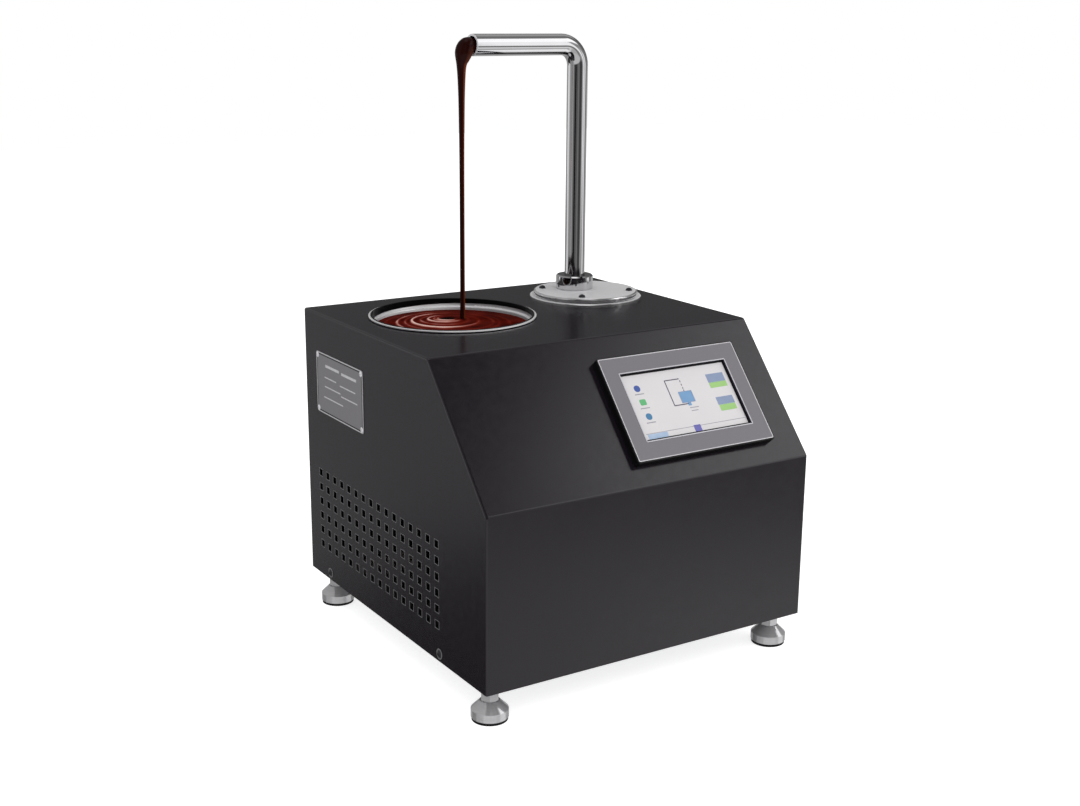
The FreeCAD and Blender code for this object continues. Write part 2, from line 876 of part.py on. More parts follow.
def make_hmi():
    bezel = block(0, 0, hmi_w, hmi_h, 0, hmi_t)
    bezel = bezel.makeFillet(hmi_round, edges(bezel, lambda b: b.ZLength > hmi_t - near))
    bezel = bezel.makeChamfer(hmi_bevel, edges(bezel, lambda b: b.ZMin > hmi_t - near))
    bezel = bezel.cut(block(0, screen_up, screen_w, screen_h, -past, hmi_t + past))
    save("hmi_bezel", on_slope(bezel))
    glass_w = screen_w - 2 * screen_fit
    glass_h = screen_h - 2 * screen_fit
    z1 = hmi_t - screen_sunk
    z0 = z1 - screen_t
    save("hmi_screen", on_slope(block(0, screen_up, glass_w, glass_h, z0, z1)))
    body = block(0, 0, hmi_body_w, hmi_body_h, -hmi_body_d, 0)
    rear = edges(body, lambda b: b.ZMax < -hmi_body_d + near)
    body = body.makeFillet(hmi_body_round, rear)
    plinth = block(0, screen_up, glass_w, glass_h, -sheet, z0)
    save("hmi_housing", on_slope(fused([body, plinth])))
    clamps = []
    x = (hmi_body_w + clamp_t) / 2 + seat_gap
    y = hmi_body_h / 4
    for cx, cy in ((-x, -y), (-x, y), (x, -y), (x, y)):
        clamps.append(block(cx, cy, clamp_t, clamp_w, -sheet - clamp_h, -sheet))
    save("hmi_clamps", on_slope(Part.makeCompound(clamps)))


def foot_cup(x, y):
    # Coned cup, groove, neck with flats and plain stem
    cup = turned(x, y, [
        (0, pad_h),
        (cup_r, pad_h),
        (cup_r, cup_band),
        (cup_neck_r, cup_top),
        (groove_r, cup_top),
        (groove_r, cup_top + groove_h),
        (0, cup_top + groove_h),
    ])
    neck = hexagon(x, y, cup_top + groove_h, neck_top, neck_flats)
    z1 = z_tray + stem_up
    stem = cyl(x, y, neck_top - groove_h, z1, stem_r)
    stem = stem.makeChamfer(stem_bevel, edges(stem, lambda b: b.ZMin > z1 - near))
    return fused([cup, neck, stem])


def make_feet():
    nuts = []
    for key, (x, y) in foot_spots().items():
        save("foot_cup_" + key, foot_cup(x, y))
        save("foot_pad_" + key, cyl(x, y, 0, pad_h, pad_r))
        nut = hexagon(x, y, z_cab - locknut_h, z_cab, locknut_flats)
        nuts.append(nut.cut(cyl(x, y, z_cab - past, z_cab + past, stem_r + run_fit)))
    save("foot_locknuts", Part.makeCompound(nuts))


def rear_screw_spots():
    x = half_w - sheet - panel_fit - rear_lip / 2
    heights = (z_cab + rear_screw_end, z_cab + cab_h / 2, z_top - rear_screw_end)
    return [(side * x, z) for side in (-1, 1) for z in heights]


def rear_cutters():
    y0 = y_rear - past
    y1 = y_rear + past
    cutters = []
    n = int(fan_slot_r / fan_slot_pitch)
    for i in range(-n, n + 1):
        drop = i * fan_slot_pitch
        width = 2 * sqrt(fan_slot_r ** 2 - drop ** 2)
        cutters.append(plate(fan_x, z_cab + fan_z + drop, width, fan_slot_w, y0, y1))
    for i in range(louvre_count):
        z = z_top - louvre_down + i * louvre_pitch
        cutters.append(plate(-half_w + louvre_in, z, louvre_w, louvre_h, y0, y1))
    z = z_cab + inlet_z
    gap = 2 * panel_fit
    cutters.append(plate(inlet_x, z, inlet_body_w + gap, inlet_body_h + gap, y0, y1))
    w = switch_w - 2 * switch_lip + gap
    h = switch_h - 2 * switch_lip + gap
    cutters.append(plate(switch_x, z, w, h, y0, y1))
    for x, z in rear_screw_spots():
        cutters.append(Part.makeCylinder(button_shank_r, 2 * past, Vector(x, y0, z), along_y))
    return cutters


def make_rear():
    w = half_w - sheet - panel_fit
    z0 = z_cab + panel_fit
    z1 = z_top - sheet - panel_fit
    z_rib = z_cab + tray_flange + sheet
    y0 = y_rear - rear_lip
    panel = fused([
        box(-w, w, y_rear - sheet, y_rear, z0, z1),
        box(-w, w, y0, y_rear, z1 - sheet, z1),
        box(-w, -w + sheet, y0, y_rear, z_rib, z1),
        box(w - sheet, w, y0, y_rear, z_rib, z1),
    ])
    save("rear_panel", panel.cut(Part.makeCompound(rear_cutters())))
    screws = [button_screw(Vector(x, y_rear, z), along_y) for x, z in rear_screw_spots()]
    save("rear_screws", Part.makeCompound(screws))


def fan_rod(r, y0, length):
    return Part.makeCylinder(r, length, Vector(fan_x, y0, z_cab + fan_z), along_y)


def make_fan():
    y1 = y_rear - sheet
    y0 = y1 - fan_t
    z = z_cab + fan_z
    length = fan_t - 2 * fan_hub_t
    frame = plate(fan_x, z, fan_w, fan_w, y0, y1)
    frame = frame.makeFillet(fan_round, edges(frame, lambda b: b.YLength > fan_t - near))
    frame = frame.cut(fan_rod(fan_bore_r, y0 - past, fan_t + 2 * past))
    parts = [frame, fan_rod(fan_hub_r, y0, fan_hub_t), fan_rod(fan_pin_r, y0, fan_hub_t + length / 2)]
    for i in range(fan_spokes):
        reach = (fan_bore_r + fan_w / 2) / 2
        spoke = box(fan_x - fan_spoke_w / 2, fan_x + fan_spoke_w / 2, y0, y0 + fan_spoke_w, z, z + reach)
        spoke.rotate(Vector(fan_x, 0, z), along_y, 360 * i / fan_spokes + fan_spoke_turn)
        parts.append(spoke)
    save("fan_frame", fused(parts))
    y2 = y0 + fan_hub_t + seat_gap
    rotor = [fan_rod(fan_hub_r, y2, length)]
    half = length / 2 - fan_blade_in
    for i in range(fan_blades):
        blade = box(-fan_blade_t / 2, fan_blade_t / 2, -half, half, 0, fan_bore_r)
        blade.rotate(Vector(0, 0, 0), up, fan_blade_twist)
        blade.rotate(Vector(0, 0, 0), along_y, 360 * i / fan_blades)
        blade.translate(Vector(fan_x, y2 + length / 2, z))
        rotor.append(blade)
    rotor = fused(rotor).common(fan_rod(fan_bore_r - fan_tip_gap, y2, length))
    save("fan_rotor", rotor.cut(fan_rod(fan_pin_r + run_fit, y2 - past, past + length / 2)))


def make_inlet():
    z = z_cab + inlet_z
    y1 = y_rear + inlet_lip
    lip = plate(inlet_x, z, inlet_w, inlet_h, y_rear, y1)
    lip = lip.makeFillet(inlet_round, edges(lip, lambda b: b.YLength > inlet_lip - near))
    body = plate(inlet_x, z, inlet_body_w, inlet_body_h, y_rear - inlet_body_d, y1)
    y0 = y1 - socket_d
    socket = plate(inlet_x, z, socket_w, socket_h, y0, y1 + past)
    save("mains_inlet", fused([lip, body]).cut(socket))
    pins = []
    for dx, dz in ((-pin_side, -pin_drop), (pin_side, -pin_drop), (0, pin_rise)):
        pins.append(plate(inlet_x + dx, z + dz, pin_t, pin_w, y0, y0 + pin_len))
    save("inlet_pins", Part.makeCompound(pins))


def make_switch():
    z = z_cab + inlet_z
    y1 = y_rear + switch_lip
    y0 = y_rear - switch_d
    w = switch_w - 2 * switch_lip
    h = switch_h - 2 * switch_lip
    hollow_w = w - 2 * switch_wall
    hollow_h = h - 2 * switch_wall
    frame = fused([
        plate(switch_x, z, switch_w, switch_h, y_rear, y1),
        plate(switch_x, z, w, h, y0, y1),
    ])
    save("switch_frame", frame.cut(plate(switch_x, z, hollow_w, hollow_h, y0 + switch_wall, y1 + past)))
    pivot = Vector(switch_x - hollow_w / 2, y_rear - rocker_sunk, z)
    save("switch_pin", Part.makeCylinder(rocker_pin_r, hollow_w, pivot, along_x))
    rocker = plate(switch_x, z, hollow_w - 2 * rocker_gap, hollow_h - 2 * rocker_end_gap,
                   pivot.y - rocker_sunk, pivot.y + rocker_rise)
    start = pivot - along_x * past
    length = hollow_w + 2 * past
    rise = along_y * (rocker_dish_r + rocker_rise - rocker_dish)
    dish = Part.makeCylinder(rocker_dish_r, length, start + rise, along_x)
    bore = Part.makeCylinder(rocker_pin_r + run_fit, length, start, along_x)
    rocker = rocker.cut(dish).cut(bore)
    rocker.rotate(pivot, along_x, -rocker_tilt)
    save("rocker_switch", rocker)


def make_power_supply():
    x = -half_w + psu_in_x
    y = -half_d + psu_in_y
    z1 = z_tray + psu_h
    slots = []
    for i in range(psu_slots):
        sx = x + psu_slot_pitch * (i - (psu_slots - 1) / 2)
        slots.append(block(sx, y, psu_slot_w, psu_slot_len, z1 - psu_slot_deep, z1 + past))
    case = block(x, y, psu_w, psu_d, z_tray, z1)
    save("power_supply", case.cut(Part.makeCompound(slots)))


def make_driver():
    y = -half_d + driver_in_y
    z1 = z_tray + driver_h
    grooves = []
    for i in range(driver_grooves):
        x = driver_x + driver_groove_pitch * (i - (driver_grooves - 1) / 2)
        z0 = z1 - driver_groove_deep
        grooves.append(block(x, y, driver_groove_w, driver_d + past, z0, z1 + past))
    sink = block(driver_x, y, driver_w, driver_d, z_tray, z1)
    save("motor_driver", sink.cut(Part.makeCompound(grooves)))


def make_relay():
    x = half_w - relay_in_x
    relay = block(x, -half_d + relay_in_y, relay_w, relay_d, z_tray, z_tray + relay_h)
    save("heater_relay", relay.makeFillet(relay_round, edges(relay, lambda b: b.ZLength > near)))


def make_terminal_block():
    x = -half_w + block_in_x
    y = half_d - block_in_y
    z1 = z_tray + block_h
    wells = []
    for i in range(block_wells):
        wx = x + block_well_pitch * (i - (block_wells - 1) / 2)
        wells.append(cyl(wx, y, z1 - block_well_deep, z1 + past, block_well_r))
    body = block(x, y, block_w, block_d, z_tray, z1)
    save("terminal_block", body.cut(Part.makeCompound(wells)))


os.makedirs("parts", exist_ok=True)
make_cabinet()
make_tray()
make_shell_screws()
make_nameplate()
make_bowl()
make_duct()
make_barrel()
make_flange()
make_collar()
make_pipe()
make_auger()
make_pump_drive()
make_stirrer()
make_hmi()
make_feet()
make_rear()
make_fan()
make_inlet()
make_switch()
make_power_supply()
make_driver()
make_relay()
make_terminal_block()
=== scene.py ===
import math

import bpy
from mathutils import Matrix, Vector


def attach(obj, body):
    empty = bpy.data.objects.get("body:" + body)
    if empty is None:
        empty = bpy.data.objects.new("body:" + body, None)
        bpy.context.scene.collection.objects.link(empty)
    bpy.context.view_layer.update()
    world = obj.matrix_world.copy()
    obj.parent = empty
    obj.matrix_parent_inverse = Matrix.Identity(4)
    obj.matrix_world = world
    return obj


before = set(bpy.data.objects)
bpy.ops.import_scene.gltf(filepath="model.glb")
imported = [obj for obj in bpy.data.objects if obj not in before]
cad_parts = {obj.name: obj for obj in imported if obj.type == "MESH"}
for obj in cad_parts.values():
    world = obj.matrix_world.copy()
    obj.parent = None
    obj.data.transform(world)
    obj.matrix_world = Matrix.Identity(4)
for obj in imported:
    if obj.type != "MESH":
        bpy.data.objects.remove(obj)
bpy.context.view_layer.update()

mm = 0.001

# Camera as solved from the cabinet's corners, in mm and degrees
camera_at = (-967.11, -1499.28, 762.83)
camera_azimuth = -32.4771
camera_rise = 14.8043
camera_roll = 0.50308
camera_lens = 49.215
camera_sensor = 36.0

# Slope that carries the touch panel, in mm
slope_foot_y = -230.0
slope_foot_z = 248.5
slope_run = 128.0
slope_rise = 147.0
panel_x = 79.5
panel_up = 93.2
screen_front = 6.0
frame_front = 10.0
frame_w = 201.0
frame_h = 136.0
opening_w = 157.0
opening_h = 90.5
opening_up = 0.5

# Sides: half the cabinet's width, vent grid and bare plate, in mm
half_w = 225.0
vent = 9.0
vent_cols = 16
vent_rows = 6
vent_pitch_y = 20.8
vent_pitch_z = 19.5
vent_from_y = 193.0
vent_from_z = 87.5
plate_y = 128.5
plate_z = 307.5
plate_w = 134.0
plate_h = 79.0
plate_t = 0.8
screw_rows = (172.0, -124.0)
screw_z = 53.0

slope_out = Vector((0, -slope_rise, slope_run)).normalized()

# Bowl and the chocolate in it, in mm
bowl_x = -86.625
bowl_y = 89.24
bowl_wall = 97.0
bowl_mouth = 101.0
lip_low = 391.4
lip_high = 398.1
lip_over = 102.4
lip_tilt = math.radians(1.0)
lip_clear = 0.15
lip_wall = 0.7
pool_level = 384.3
pool_skin = 8.0
pool_gap = 0.15
pool_step = 1.2
pool_calm = 9.0
swirl_x = 15.0
swirl_y = 43.0
# Crests of the swirl: their radii left and right of its eye, and height
swirl_crests = (
    (12, 11, 1.2),
    (18, 16, 0.9),
    (26, 25, 1.6),
    (36, 38, 0.9),
    (48, 55, 1.8),
    (57, 62, 0.8),
    (68, 74, 1.25),
    (84, 88, 0.5),
)

# A crest's width at the back and what the front adds, how it fades round, and the eye
crest_w = 2.0
crest_w_front = 1.6
crest_mean = 0.62
crest_swing = 0.38
crest_turn = 215.0
swirl_base = -0.3
eye_deep = 1.5
eye_r = 9.0

flange_x = 128.925
flange_y = 112.01

# Delivery pipe: upright leg's axis, the arm's direction and the falling stream
pipe_x = 120.925
pipe_y = 127.01
arm_z = 724.0
arm_angle = 184.0
arm_len = 163.5
stream_reach = 179.4
stream_stop = 0.9
outlet_r = 13.3
outlet_w = 2.4
outlet_t = 0.6

# Which way the bowl's painted highlight and the stream's painted lit side face
bowl_highlight_side = (0.17, -0.98, 0.1)
lit_side = (0.84, -0.54, 0)

# Thin trim: how far it is set in from its outline, corner, width and height, in mm
black_edge = (1.4, 2.4, 1.0, 0.25)
bright_line = (3.4, 1.6, 0.8, 0.25)
display_chamfer = (0.2, 0.5, 1.3, frame_front - screen_front + 0.1)
# A dark band of painted shadow just inside the display's rim
display_shadow_band = (2.4, 0.4, 2.5, 0.15)
vent_trim = (-1.4, 0.0, 0.6, 0.2)
# Painted highlight and painted shadow along the nameplate's edge
plate_edge_highlight = (1.0, 3.6, 1.2, 0.12)
plate_edge_shadow = (3.6, 3.0, 1.6, 0.12)
mark_t = 0.12
ring_r = 6.4
ring_w = 1.4
ring_t = 0.5

# How deep edgings and small trim are sunk in their face, and what stands off the display
edging_sunk = 0.1
trim_sunk = 0.05
chamfer_off = 0.05
picture_off = 0.02

foot_corners = ("fl", "fr", "bl", "br")

# Studio: what dull things see, what is behind the cards, and a second reflection's share
room_level = 0.72
grey_room = 0.3
second_look = 0.3
floor_size = 14
lamp_aim = (0, 0, 0.3)
lamp_size = 2.0
studio_lamps = (("key_light", (-1.2, -2.6, 2.6), 26), ("fill_light", (2.4, -1.6, 1.8), 14))


def linear(code):
    # sRGB hex code to the linear colour that a shader takes
    parts = [int(code[i : i + 2], 16) / 255 for i in (1, 3, 5)]
    parts = [c / 12.92 if c <= 0.04045 else ((c + 0.055) / 1.055) ** 2.4 for c in parts]
    return (*parts, 1.0)


def add(tree, kind, inputs=None, **settings):
    # One shader node; an input takes a value or another node's output
    made = tree.nodes.new("ShaderNode" + kind)
    for name, value in settings.items():
        setattr(made, name, value)
    for socket, value in (inputs or {}).items():
        if isinstance(value, bpy.types.NodeSocket):
            tree.links.new(value, made.inputs[socket])
        else:
            made.inputs[socket].default_value = value
    return made


# ---------------------------------------------------------------- finishes


def new_finish(name, inputs):
    material = bpy.data.materials.new(name)
    material.use_nodes = True
    tree = material.node_tree
    shader = tree.nodes["Principled BSDF"]
    for socket, value in inputs.items():
        shader.inputs[socket].default_value = value
    return material, tree, shader


def feed(tree, shader, **outputs):
    # Joins pattern outputs to the shader's colour, roughness and normal
    names = {"colour": "Base Color", "roughness": "Roughness", "normal": "Normal"}
    for name, output in outputs.items():
        tree.links.new(output, shader.inputs[names[name]])


def noise(tree, size, detail=2.0, stretch=(1, 1, 1)):
    # Noise whose grains are about size mm across, longer along a small stretch
    spot = add(tree, "TexCoord").outputs["Object"]
    scale = [s / (size * mm) for s in stretch]
    spot = add(tree, "Mapping", {"Vector": spot, "Scale": scale}).outputs["Vector"]
    return add(tree, "TexNoise", {"Vector": spot, "Scale": 1.0, "Detail": detail}).outputs["Fac"]


def spread(tree, factor, low, high):
    inputs = {"Value": factor, "From Min": 0.3, "From Max": 0.7, "To Min": low, "To Max": high}
    return add(tree, "MapRange", inputs).outputs["Result"]


def tones(tree, factor, *codes):
    # Colours from dark to light as the factor goes from 0 to 1
    made = add(tree, "ValToRGB", {"Fac": factor})
    stops = made.color_ramp.elements
    for number, code in enumerate(codes):
        place = number / (len(codes) - 1)
        stop = stops[number] if number in (0, 1) else stops.new(place)
        stop.position = place
        stop.color = linear(code)
    return made.outputs["Color"]


def facing(tree, direction, low, high):
    # 0 to 1 as the surface turns towards a direction
    normal = add(tree, "NewGeometry").outputs["Normal"]
    inputs = {0: normal, 1: direction}
    turned = add(tree, "VectorMath", inputs, operation="DOT_PRODUCT").outputs["Value"]
    inputs = {"Value": turned, "From Min": low, "From Max": high}
    return add(tree, "MapRange", inputs).outputs["Result"]


def height_over(tree, level, low, high):
    # 0 to 1 as the height over a level goes from low to high, in mm
    spot = add(tree, "TexCoord").outputs["Object"]
    z = add(tree, "SeparateXYZ", {"Vector": spot}).outputs["Z"]
    inputs = {"Value": z, "From Min": (level + low) * mm, "From Max": (level + high) * mm}
    return add(tree, "MapRange", inputs).outputs["Result"]


def relief(tree, height, depth):
    # Bump of depth mm where height goes from 0 to 1
    return add(tree, "Bump", {"Height": height, "Distance": depth * mm}).outputs["Normal"]


def from_axis(tree, x, y):
    # Distance in mm from an upright axis at x, y mm
    spot = add(tree, "TexCoord").outputs["Object"]
    inputs = {"Vector": spot, "Location": (-x * mm, -y * mm, 0), "Scale": (1, 1, 0)}
    spot = add(tree, "Mapping", inputs).outputs["Vector"]
    length = add(tree, "VectorMath", {0: spot}, operation="LENGTH").outputs["Value"]
    return add(tree, "Math", {0: length, 1: 1 / mm}, operation="MULTIPLY").outputs["Value"]


def turning_marks(tree, distance, pitch):
    # Fine uneven rings round an axis, as a lathe leaves them
    along = add(tree, "Math", {0: distance, 1: 1 / pitch}, operation="MULTIPLY").outputs["Value"]
    spot = add(tree, "CombineXYZ", {"X": along}).outputs["Vector"]
    return add(tree, "TexNoise", {"Vector": spot, "Scale": 1.0, "Detail": 3.0}).outputs["Fac"]


def powder_coat(name):
    # Smooth charcoal powder with a soft sheen and the faintest orange peel
    material, tree, shader = new_finish(name, {"Specular IOR Level": 0.7})
    colour = tones(tree, noise(tree, 60.0), "#171218", "#1A151C")
    roughness = spread(tree, noise(tree, 9.0), 0.18, 0.22)
    feed(tree, shader, normal=relief(tree, noise(tree, 1.6, 2.0), 0.002))
    return material, tree, shader, colour, roughness


def charcoal_powder_coat():
    material, tree, shader, colour, roughness = powder_coat("charcoal_powder_coat")
    feed(tree, shader, colour=colour, roughness=roughness)
    return material


def punched_coat_shaded_walls():
    # The same powder on the side sheets, with painted shade: matt near black in the cut walls of
    # the vents and on the sheets' thin edges
    material, tree, shader, colour, roughness = powder_coat("punched_coat_shaded_walls")
    normal = add(tree, "NewGeometry").outputs["Normal"]
    across = add(tree, "SeparateXYZ", {"Vector": normal}).outputs["X"]
    across = add(tree, "Math", {0: across}, operation="ABSOLUTE").outputs["Value"]
    flat = {"Value": across, "From Min": 0.7, "From Max": 0.9}
    flat = add(tree, "MapRange", flat).outputs["Result"]
    # Near black wherever the surface does not face sideways: painted shade
    mixed = add(tree, "MixRGB", {"Fac": flat, "Color1": linear("#060506"), "Color2": colour})
    rough = add(tree, "Mix", {"Factor": flat, "A": 0.8, "B": roughness})
    feed(tree, shader, colour=mixed.outputs["Color"], roughness=rough.outputs["Result"])
    return material


def mirror_polished_steel():
    # Buffed stainless: sharp reflections, barely broken by the buffing
    material, tree, shader = new_finish("mirror_polished_steel", {"Metallic": 1.0})
    colour = tones(tree, noise(tree, 25.0), "#D9D8DA", "#E2E1E3")
    roughness = spread(tree, noise(tree, 6.0, 3.0), 0.05, 0.09)
    feed(tree, shader, colour=colour, roughness=roughness)
    feed(tree, shader, normal=relief(tree, noise(tree, 12.0, 2.0), 0.004))
    return material


def turned_disc_steel():
    # Flange: satin rings turned on its top, polished round its edge
    material, tree, shader = new_finish("turned_disc_steel", {"Anisotropic": 0.5})
    top = facing(tree, (0, 0, 1), 0.93, 0.99)
    rings = turning_marks(tree, from_axis(tree, flange_x, flange_y), 0.7)
    metal = {"Value": top, "To Min": 0.9, "To Max": 0.15}
    metal = add(tree, "MapRange", metal).outputs["Result"]
    tree.links.new(metal, shader.inputs["Metallic"])
    satin = spread(tree, rings, 0.18, 0.28)
    rough = add(tree, "Mix", {"Factor": top, "A": 0.09})
    tree.links.new(satin, rough.inputs["B"])
    round_ = add(tree, "Tangent", direction_type="RADIAL", axis="Z").outputs["Tangent"]
    tree.links.new(round_, shader.inputs["Tangent"])
    colour = tones(tree, rings, "#EFEDF1", "#FFFFFF")
    feed(tree, shader, colour=colour, roughness=rough.outputs["Result"])
    feed(tree, shader, normal=relief(tree, rings, 0.006))
    return material


def turned_foot_steel():
    # Feet turned from bar: satin, with fine rings that blur what they reflect
    material, tree, shader = new_finish("turned_foot_steel", {"Metallic": 0.6})
    rings = noise(tree, 0.8, 2.0, (0.05, 0.05, 1))
    feed(tree, shader, colour=tones(tree, rings, "#CBCACC", "#E2E1E3"))
    feed(tree, shader, roughness=spread(tree, rings, 0.1, 0.16))
    return material


def spun_bowl_steel():
    # Bowl steel polished on the spindle: fine rings, with a painted highlight, near white, on the
    # side facing one way and on up-facing tops
    material, tree, shader = new_finish("spun_bowl_steel", {"Metallic": 0.25})
    away = from_axis(tree, bowl_x, bowl_y)
    rings = turning_marks(tree, away, 0.5)
    # Painted highlight: near white where the wall faces the given side
    painted_highlight = facing(tree, bowl_highlight_side, 0.6, 0.95)
    dull = tones(tree, rings, "#A2A0A3", "#B4B2B5")
    bright = tones(tree, rings, "#F6F5F7", "#FFFFFF")
    # Up-facing surfaces, the rim's top among them, take the painted highlight too
    rim = facing(tree, (0, 0, 1), 0.5, 0.9)
    painted_highlight = add(tree, "Math", {0: painted_highlight, 1: rim}, operation="MAXIMUM").outputs["Value"]
    mixed = add(tree, "MixRGB", {"Fac": painted_highlight, "Color1": dull, "Color2": bright})
    feed(tree, shader, colour=mixed.outputs["Color"])
    feed(tree, shader, roughness=spread(tree, rings, 0.10, 0.18))
    feed(tree, shader, normal=relief(tree, noise(tree, 14.0), 0.005))
    return material


def plain_steel():
    # Unpolished stainless of the inner pump and ducts, dull with long grain
    material, tree, shader = new_finish("plain_steel", {"Metallic": 1.0})
    grain = noise(tree, 1.2, 3.0, (1, 1, 0.08))
    feed(tree, shader, colour=tones(tree, grain, "#A9A8AB", "#BDBCBF"))
    feed(tree, shader, roughness=spread(tree, grain, 0.28, 0.4))
    return material


def zinc_plate():
    # Zinc plated sheet and nuts: greyish with soft spangle
    material, tree, shader = new_finish("zinc_plate", {"Metallic": 1.0})
    spot = add(tree, "TexCoord").outputs["Object"]
    cells = add(tree, "TexVoronoi", {"Vector": spot, "Scale": 1 / (7 * mm)}).outputs["Color"]
    grey = add(tree, "RGBToBW", {"Color": cells}).outputs["Val"]
    feed(tree, shader, colour=tones(tree, grey, "#8F9194", "#A6A8AB"))
    feed(tree, shader, roughness=spread(tree, grey, 0.34, 0.46))
    return material


def cast_aluminium():
    # Sand-cast housings: matt, finely pitted
    material, tree, shader = new_finish("cast_aluminium", {"Metallic": 1.0})
    grain = noise(tree, 1.6, 4.0)
    feed(tree, shader, colour=tones(tree, grain, "#8D8F92", "#A2A4A7"))
    feed(tree, shader, roughness=spread(tree, grain, 0.45, 0.6))
    feed(tree, shader, normal=relief(tree, grain, 0.08))
    return material


def turned_aluminium():
    # Coupling turned from bar, brighter than the castings
    material, tree, shader = new_finish("turned_aluminium", {"Metallic": 1.0})
    grain = noise(tree, 0.8, 2.0, (0.1, 0.1, 1))
    feed(tree, shader, colour=tones(tree, grain, "#A7A8AB", "#BBBCBF"))
    feed(tree, shader, roughness=spread(tree, grain, 0.25, 0.38))
    return material


def motor_enamel():
    # Black enamel on the motors, slightly glossy and uneven
    material, tree, shader = new_finish("motor_enamel", {})
    cloud = noise(tree, 12.0)
    feed(tree, shader, colour=tones(tree, cloud, "#1A1A1B", "#212122"))
    feed(tree, shader, roughness=spread(tree, cloud, 0.3, 0.42))
    feed(tree, shader, normal=relief(tree, noise(tree, 2.0), 0.02))
    return material


def black_oxide():
    # Blackened steel screws with a little oil sheen
    material, tree, shader = new_finish("black_oxide", {"Metallic": 1.0})
    grain = noise(tree, 1.0, 3.0)
    feed(tree, shader, colour=tones(tree, grain, "#4A494C", "#5E5D61"))
    feed(tree, shader, roughness=spread(tree, grain, 0.32, 0.45))
    return material


def moulded_black():
    # Moulded black plastic with spark-eroded grain
    material, tree, shader = new_finish("moulded_black", {})
    grain = noise(tree, 0.9, 3.0)
    feed(tree, shader, colour=tones(tree, grain, "#19191A", "#202021"))
    feed(tree, shader, roughness=spread(tree, grain, 0.42, 0.55))
    feed(tree, shader, normal=relief(tree, grain, 0.02))
    return material


def panel_frame_plastic():
    # Panel frame: grey painted front with a soft sheen, near black on every face that does not face
    # out of the slope
    material, tree, shader = new_finish("panel_frame_plastic", {})
    grain = noise(tree, 0.8, 3.0)
    front = facing(tree, slope_out, 0.93, 0.98)
    side_black = tones(tree, grain, "#0B0A0C", "#111012")
    paint = tones(tree, grain, "#78757A", "#7F7C82")
    mixed = add(tree, "MixRGB", {"Fac": front, "Color1": side_black, "Color2": paint})
    feed(tree, shader, colour=mixed.outputs["Color"])
    feed(tree, shader, roughness=spread(tree, grain, 0.38, 0.46))
    feed(tree, shader, normal=relief(tree, grain, 0.008))
    return material


def gloss_switch():
    # Rocker of shiny black plastic, rubbed where it is pressed
    material, tree, shader = new_finish("gloss_switch", {"Coat Weight": 0.3})
    cloud = noise(tree, 5.0)
    feed(tree, shader, colour=tones(tree, cloud, "#151516", "#1B1B1C"))
    feed(tree, shader, roughness=spread(tree, cloud, 0.18, 0.28))
    return material


def foot_rubber():
    # Matt black rubber soles, dusty at the edges
    material, tree, shader = new_finish("foot_rubber", {"Specular IOR Level": 0.3})
    grain = noise(tree, 1.5, 3.0)
    feed(tree, shader, colour=tones(tree, grain, "#111011", "#1A191A"))
    feed(tree, shader, roughness=spread(tree, grain, 0.7, 0.85))
    feed(tree, shader, normal=relief(tree, grain, 0.03))
    return material


def glass_fibre_wrap():
    # Woven insulation round the bowl
    material, tree, shader = new_finish("glass_fibre_wrap", {"Roughness": 0.9})
    weave = noise(tree, 1.5, 2.0, (1, 1, 3))
    feed(tree, shader, colour=tones(tree, weave, "#BFB9A6", "#DAD5C5"))
    feed(tree, shader, normal=relief(tree, weave, 0.3))
    return material


def bright_brass():
    # Inlet pins, lightly scratched along their length
    material, tree, shader = new_finish("bright_brass", {"Metallic": 1.0})
    grain = noise(tree, 0.4, 2.0, (1, 0.1, 1))
    feed(tree, shader, colour=tones(tree, grain, "#B89B55", "#CDB069"))
    feed(tree, shader, roughness=spread(tree, grain, 0.2, 0.3))
    return material


def grey_anodised_plate():
    # Anodised rating plate, satin with a straight grain
    material, tree, shader = new_finish("grey_anodised_plate", {"Metallic": 0.25})
    grain = noise(tree, 0.7, 3.0, (1, 0.05, 1))
    feed(tree, shader, colour=tones(tree, grain, "#817F83", "#8B898D"))
    feed(tree, shader, roughness=spread(tree, grain, 0.34, 0.44))
    return material


def pale_moulding():
    # Off-white moulded relay and terminals
    material, tree, shader = new_finish("pale_moulding", {})
    cloud = noise(tree, 6.0)
    feed(tree, shader, colour=tones(tree, cloud, "#CFCBC0", "#D8D4CA"))
    feed(tree, shader, roughness=spread(tree, cloud, 0.42, 0.5))
    return material


def display_glass():
    # Lit pale display behind its smooth cover
    inputs = {"Coat Weight": 0.5, "Coat Roughness": 0.08, "Emission Strength": 0.1}
    material, tree, shader = new_finish("display_glass", inputs)
    shader.inputs["Emission Color"].default_value = linear("#DCDBDE")
    cloud = noise(tree, 45.0, 1.0)
    feed(tree, shader, colour=tones(tree, cloud, "#CFCCCE", "#D8D5D6"))
    feed(tree, shader, roughness=spread(tree, cloud, 0.3, 0.36))
    return material


def picture_ink(name, dark, light):
    # One colour of the lit display picture, with the slight unevenness of a backlight
    inputs = {"Coat Weight": 0.3, "Coat Roughness": 0.08, "Emission Strength": 0.05}
    material, tree, shader = new_finish(name, inputs)
    shader.inputs["Emission Color"].default_value = linear(light)
    cloud = noise(tree, 12.0, 1.0)
    feed(tree, shader, colour=tones(tree, cloud, dark, light))
    feed(tree, shader, roughness=spread(tree, cloud, 0.3, 0.36))
    return material


# From painted shade in the troughs to painted highlights on the crests
swirl_shade_to_highlight = ("#100202", "#370A06", "#58150D", "#6F2218", "#AE756B", "#E4BFB5")


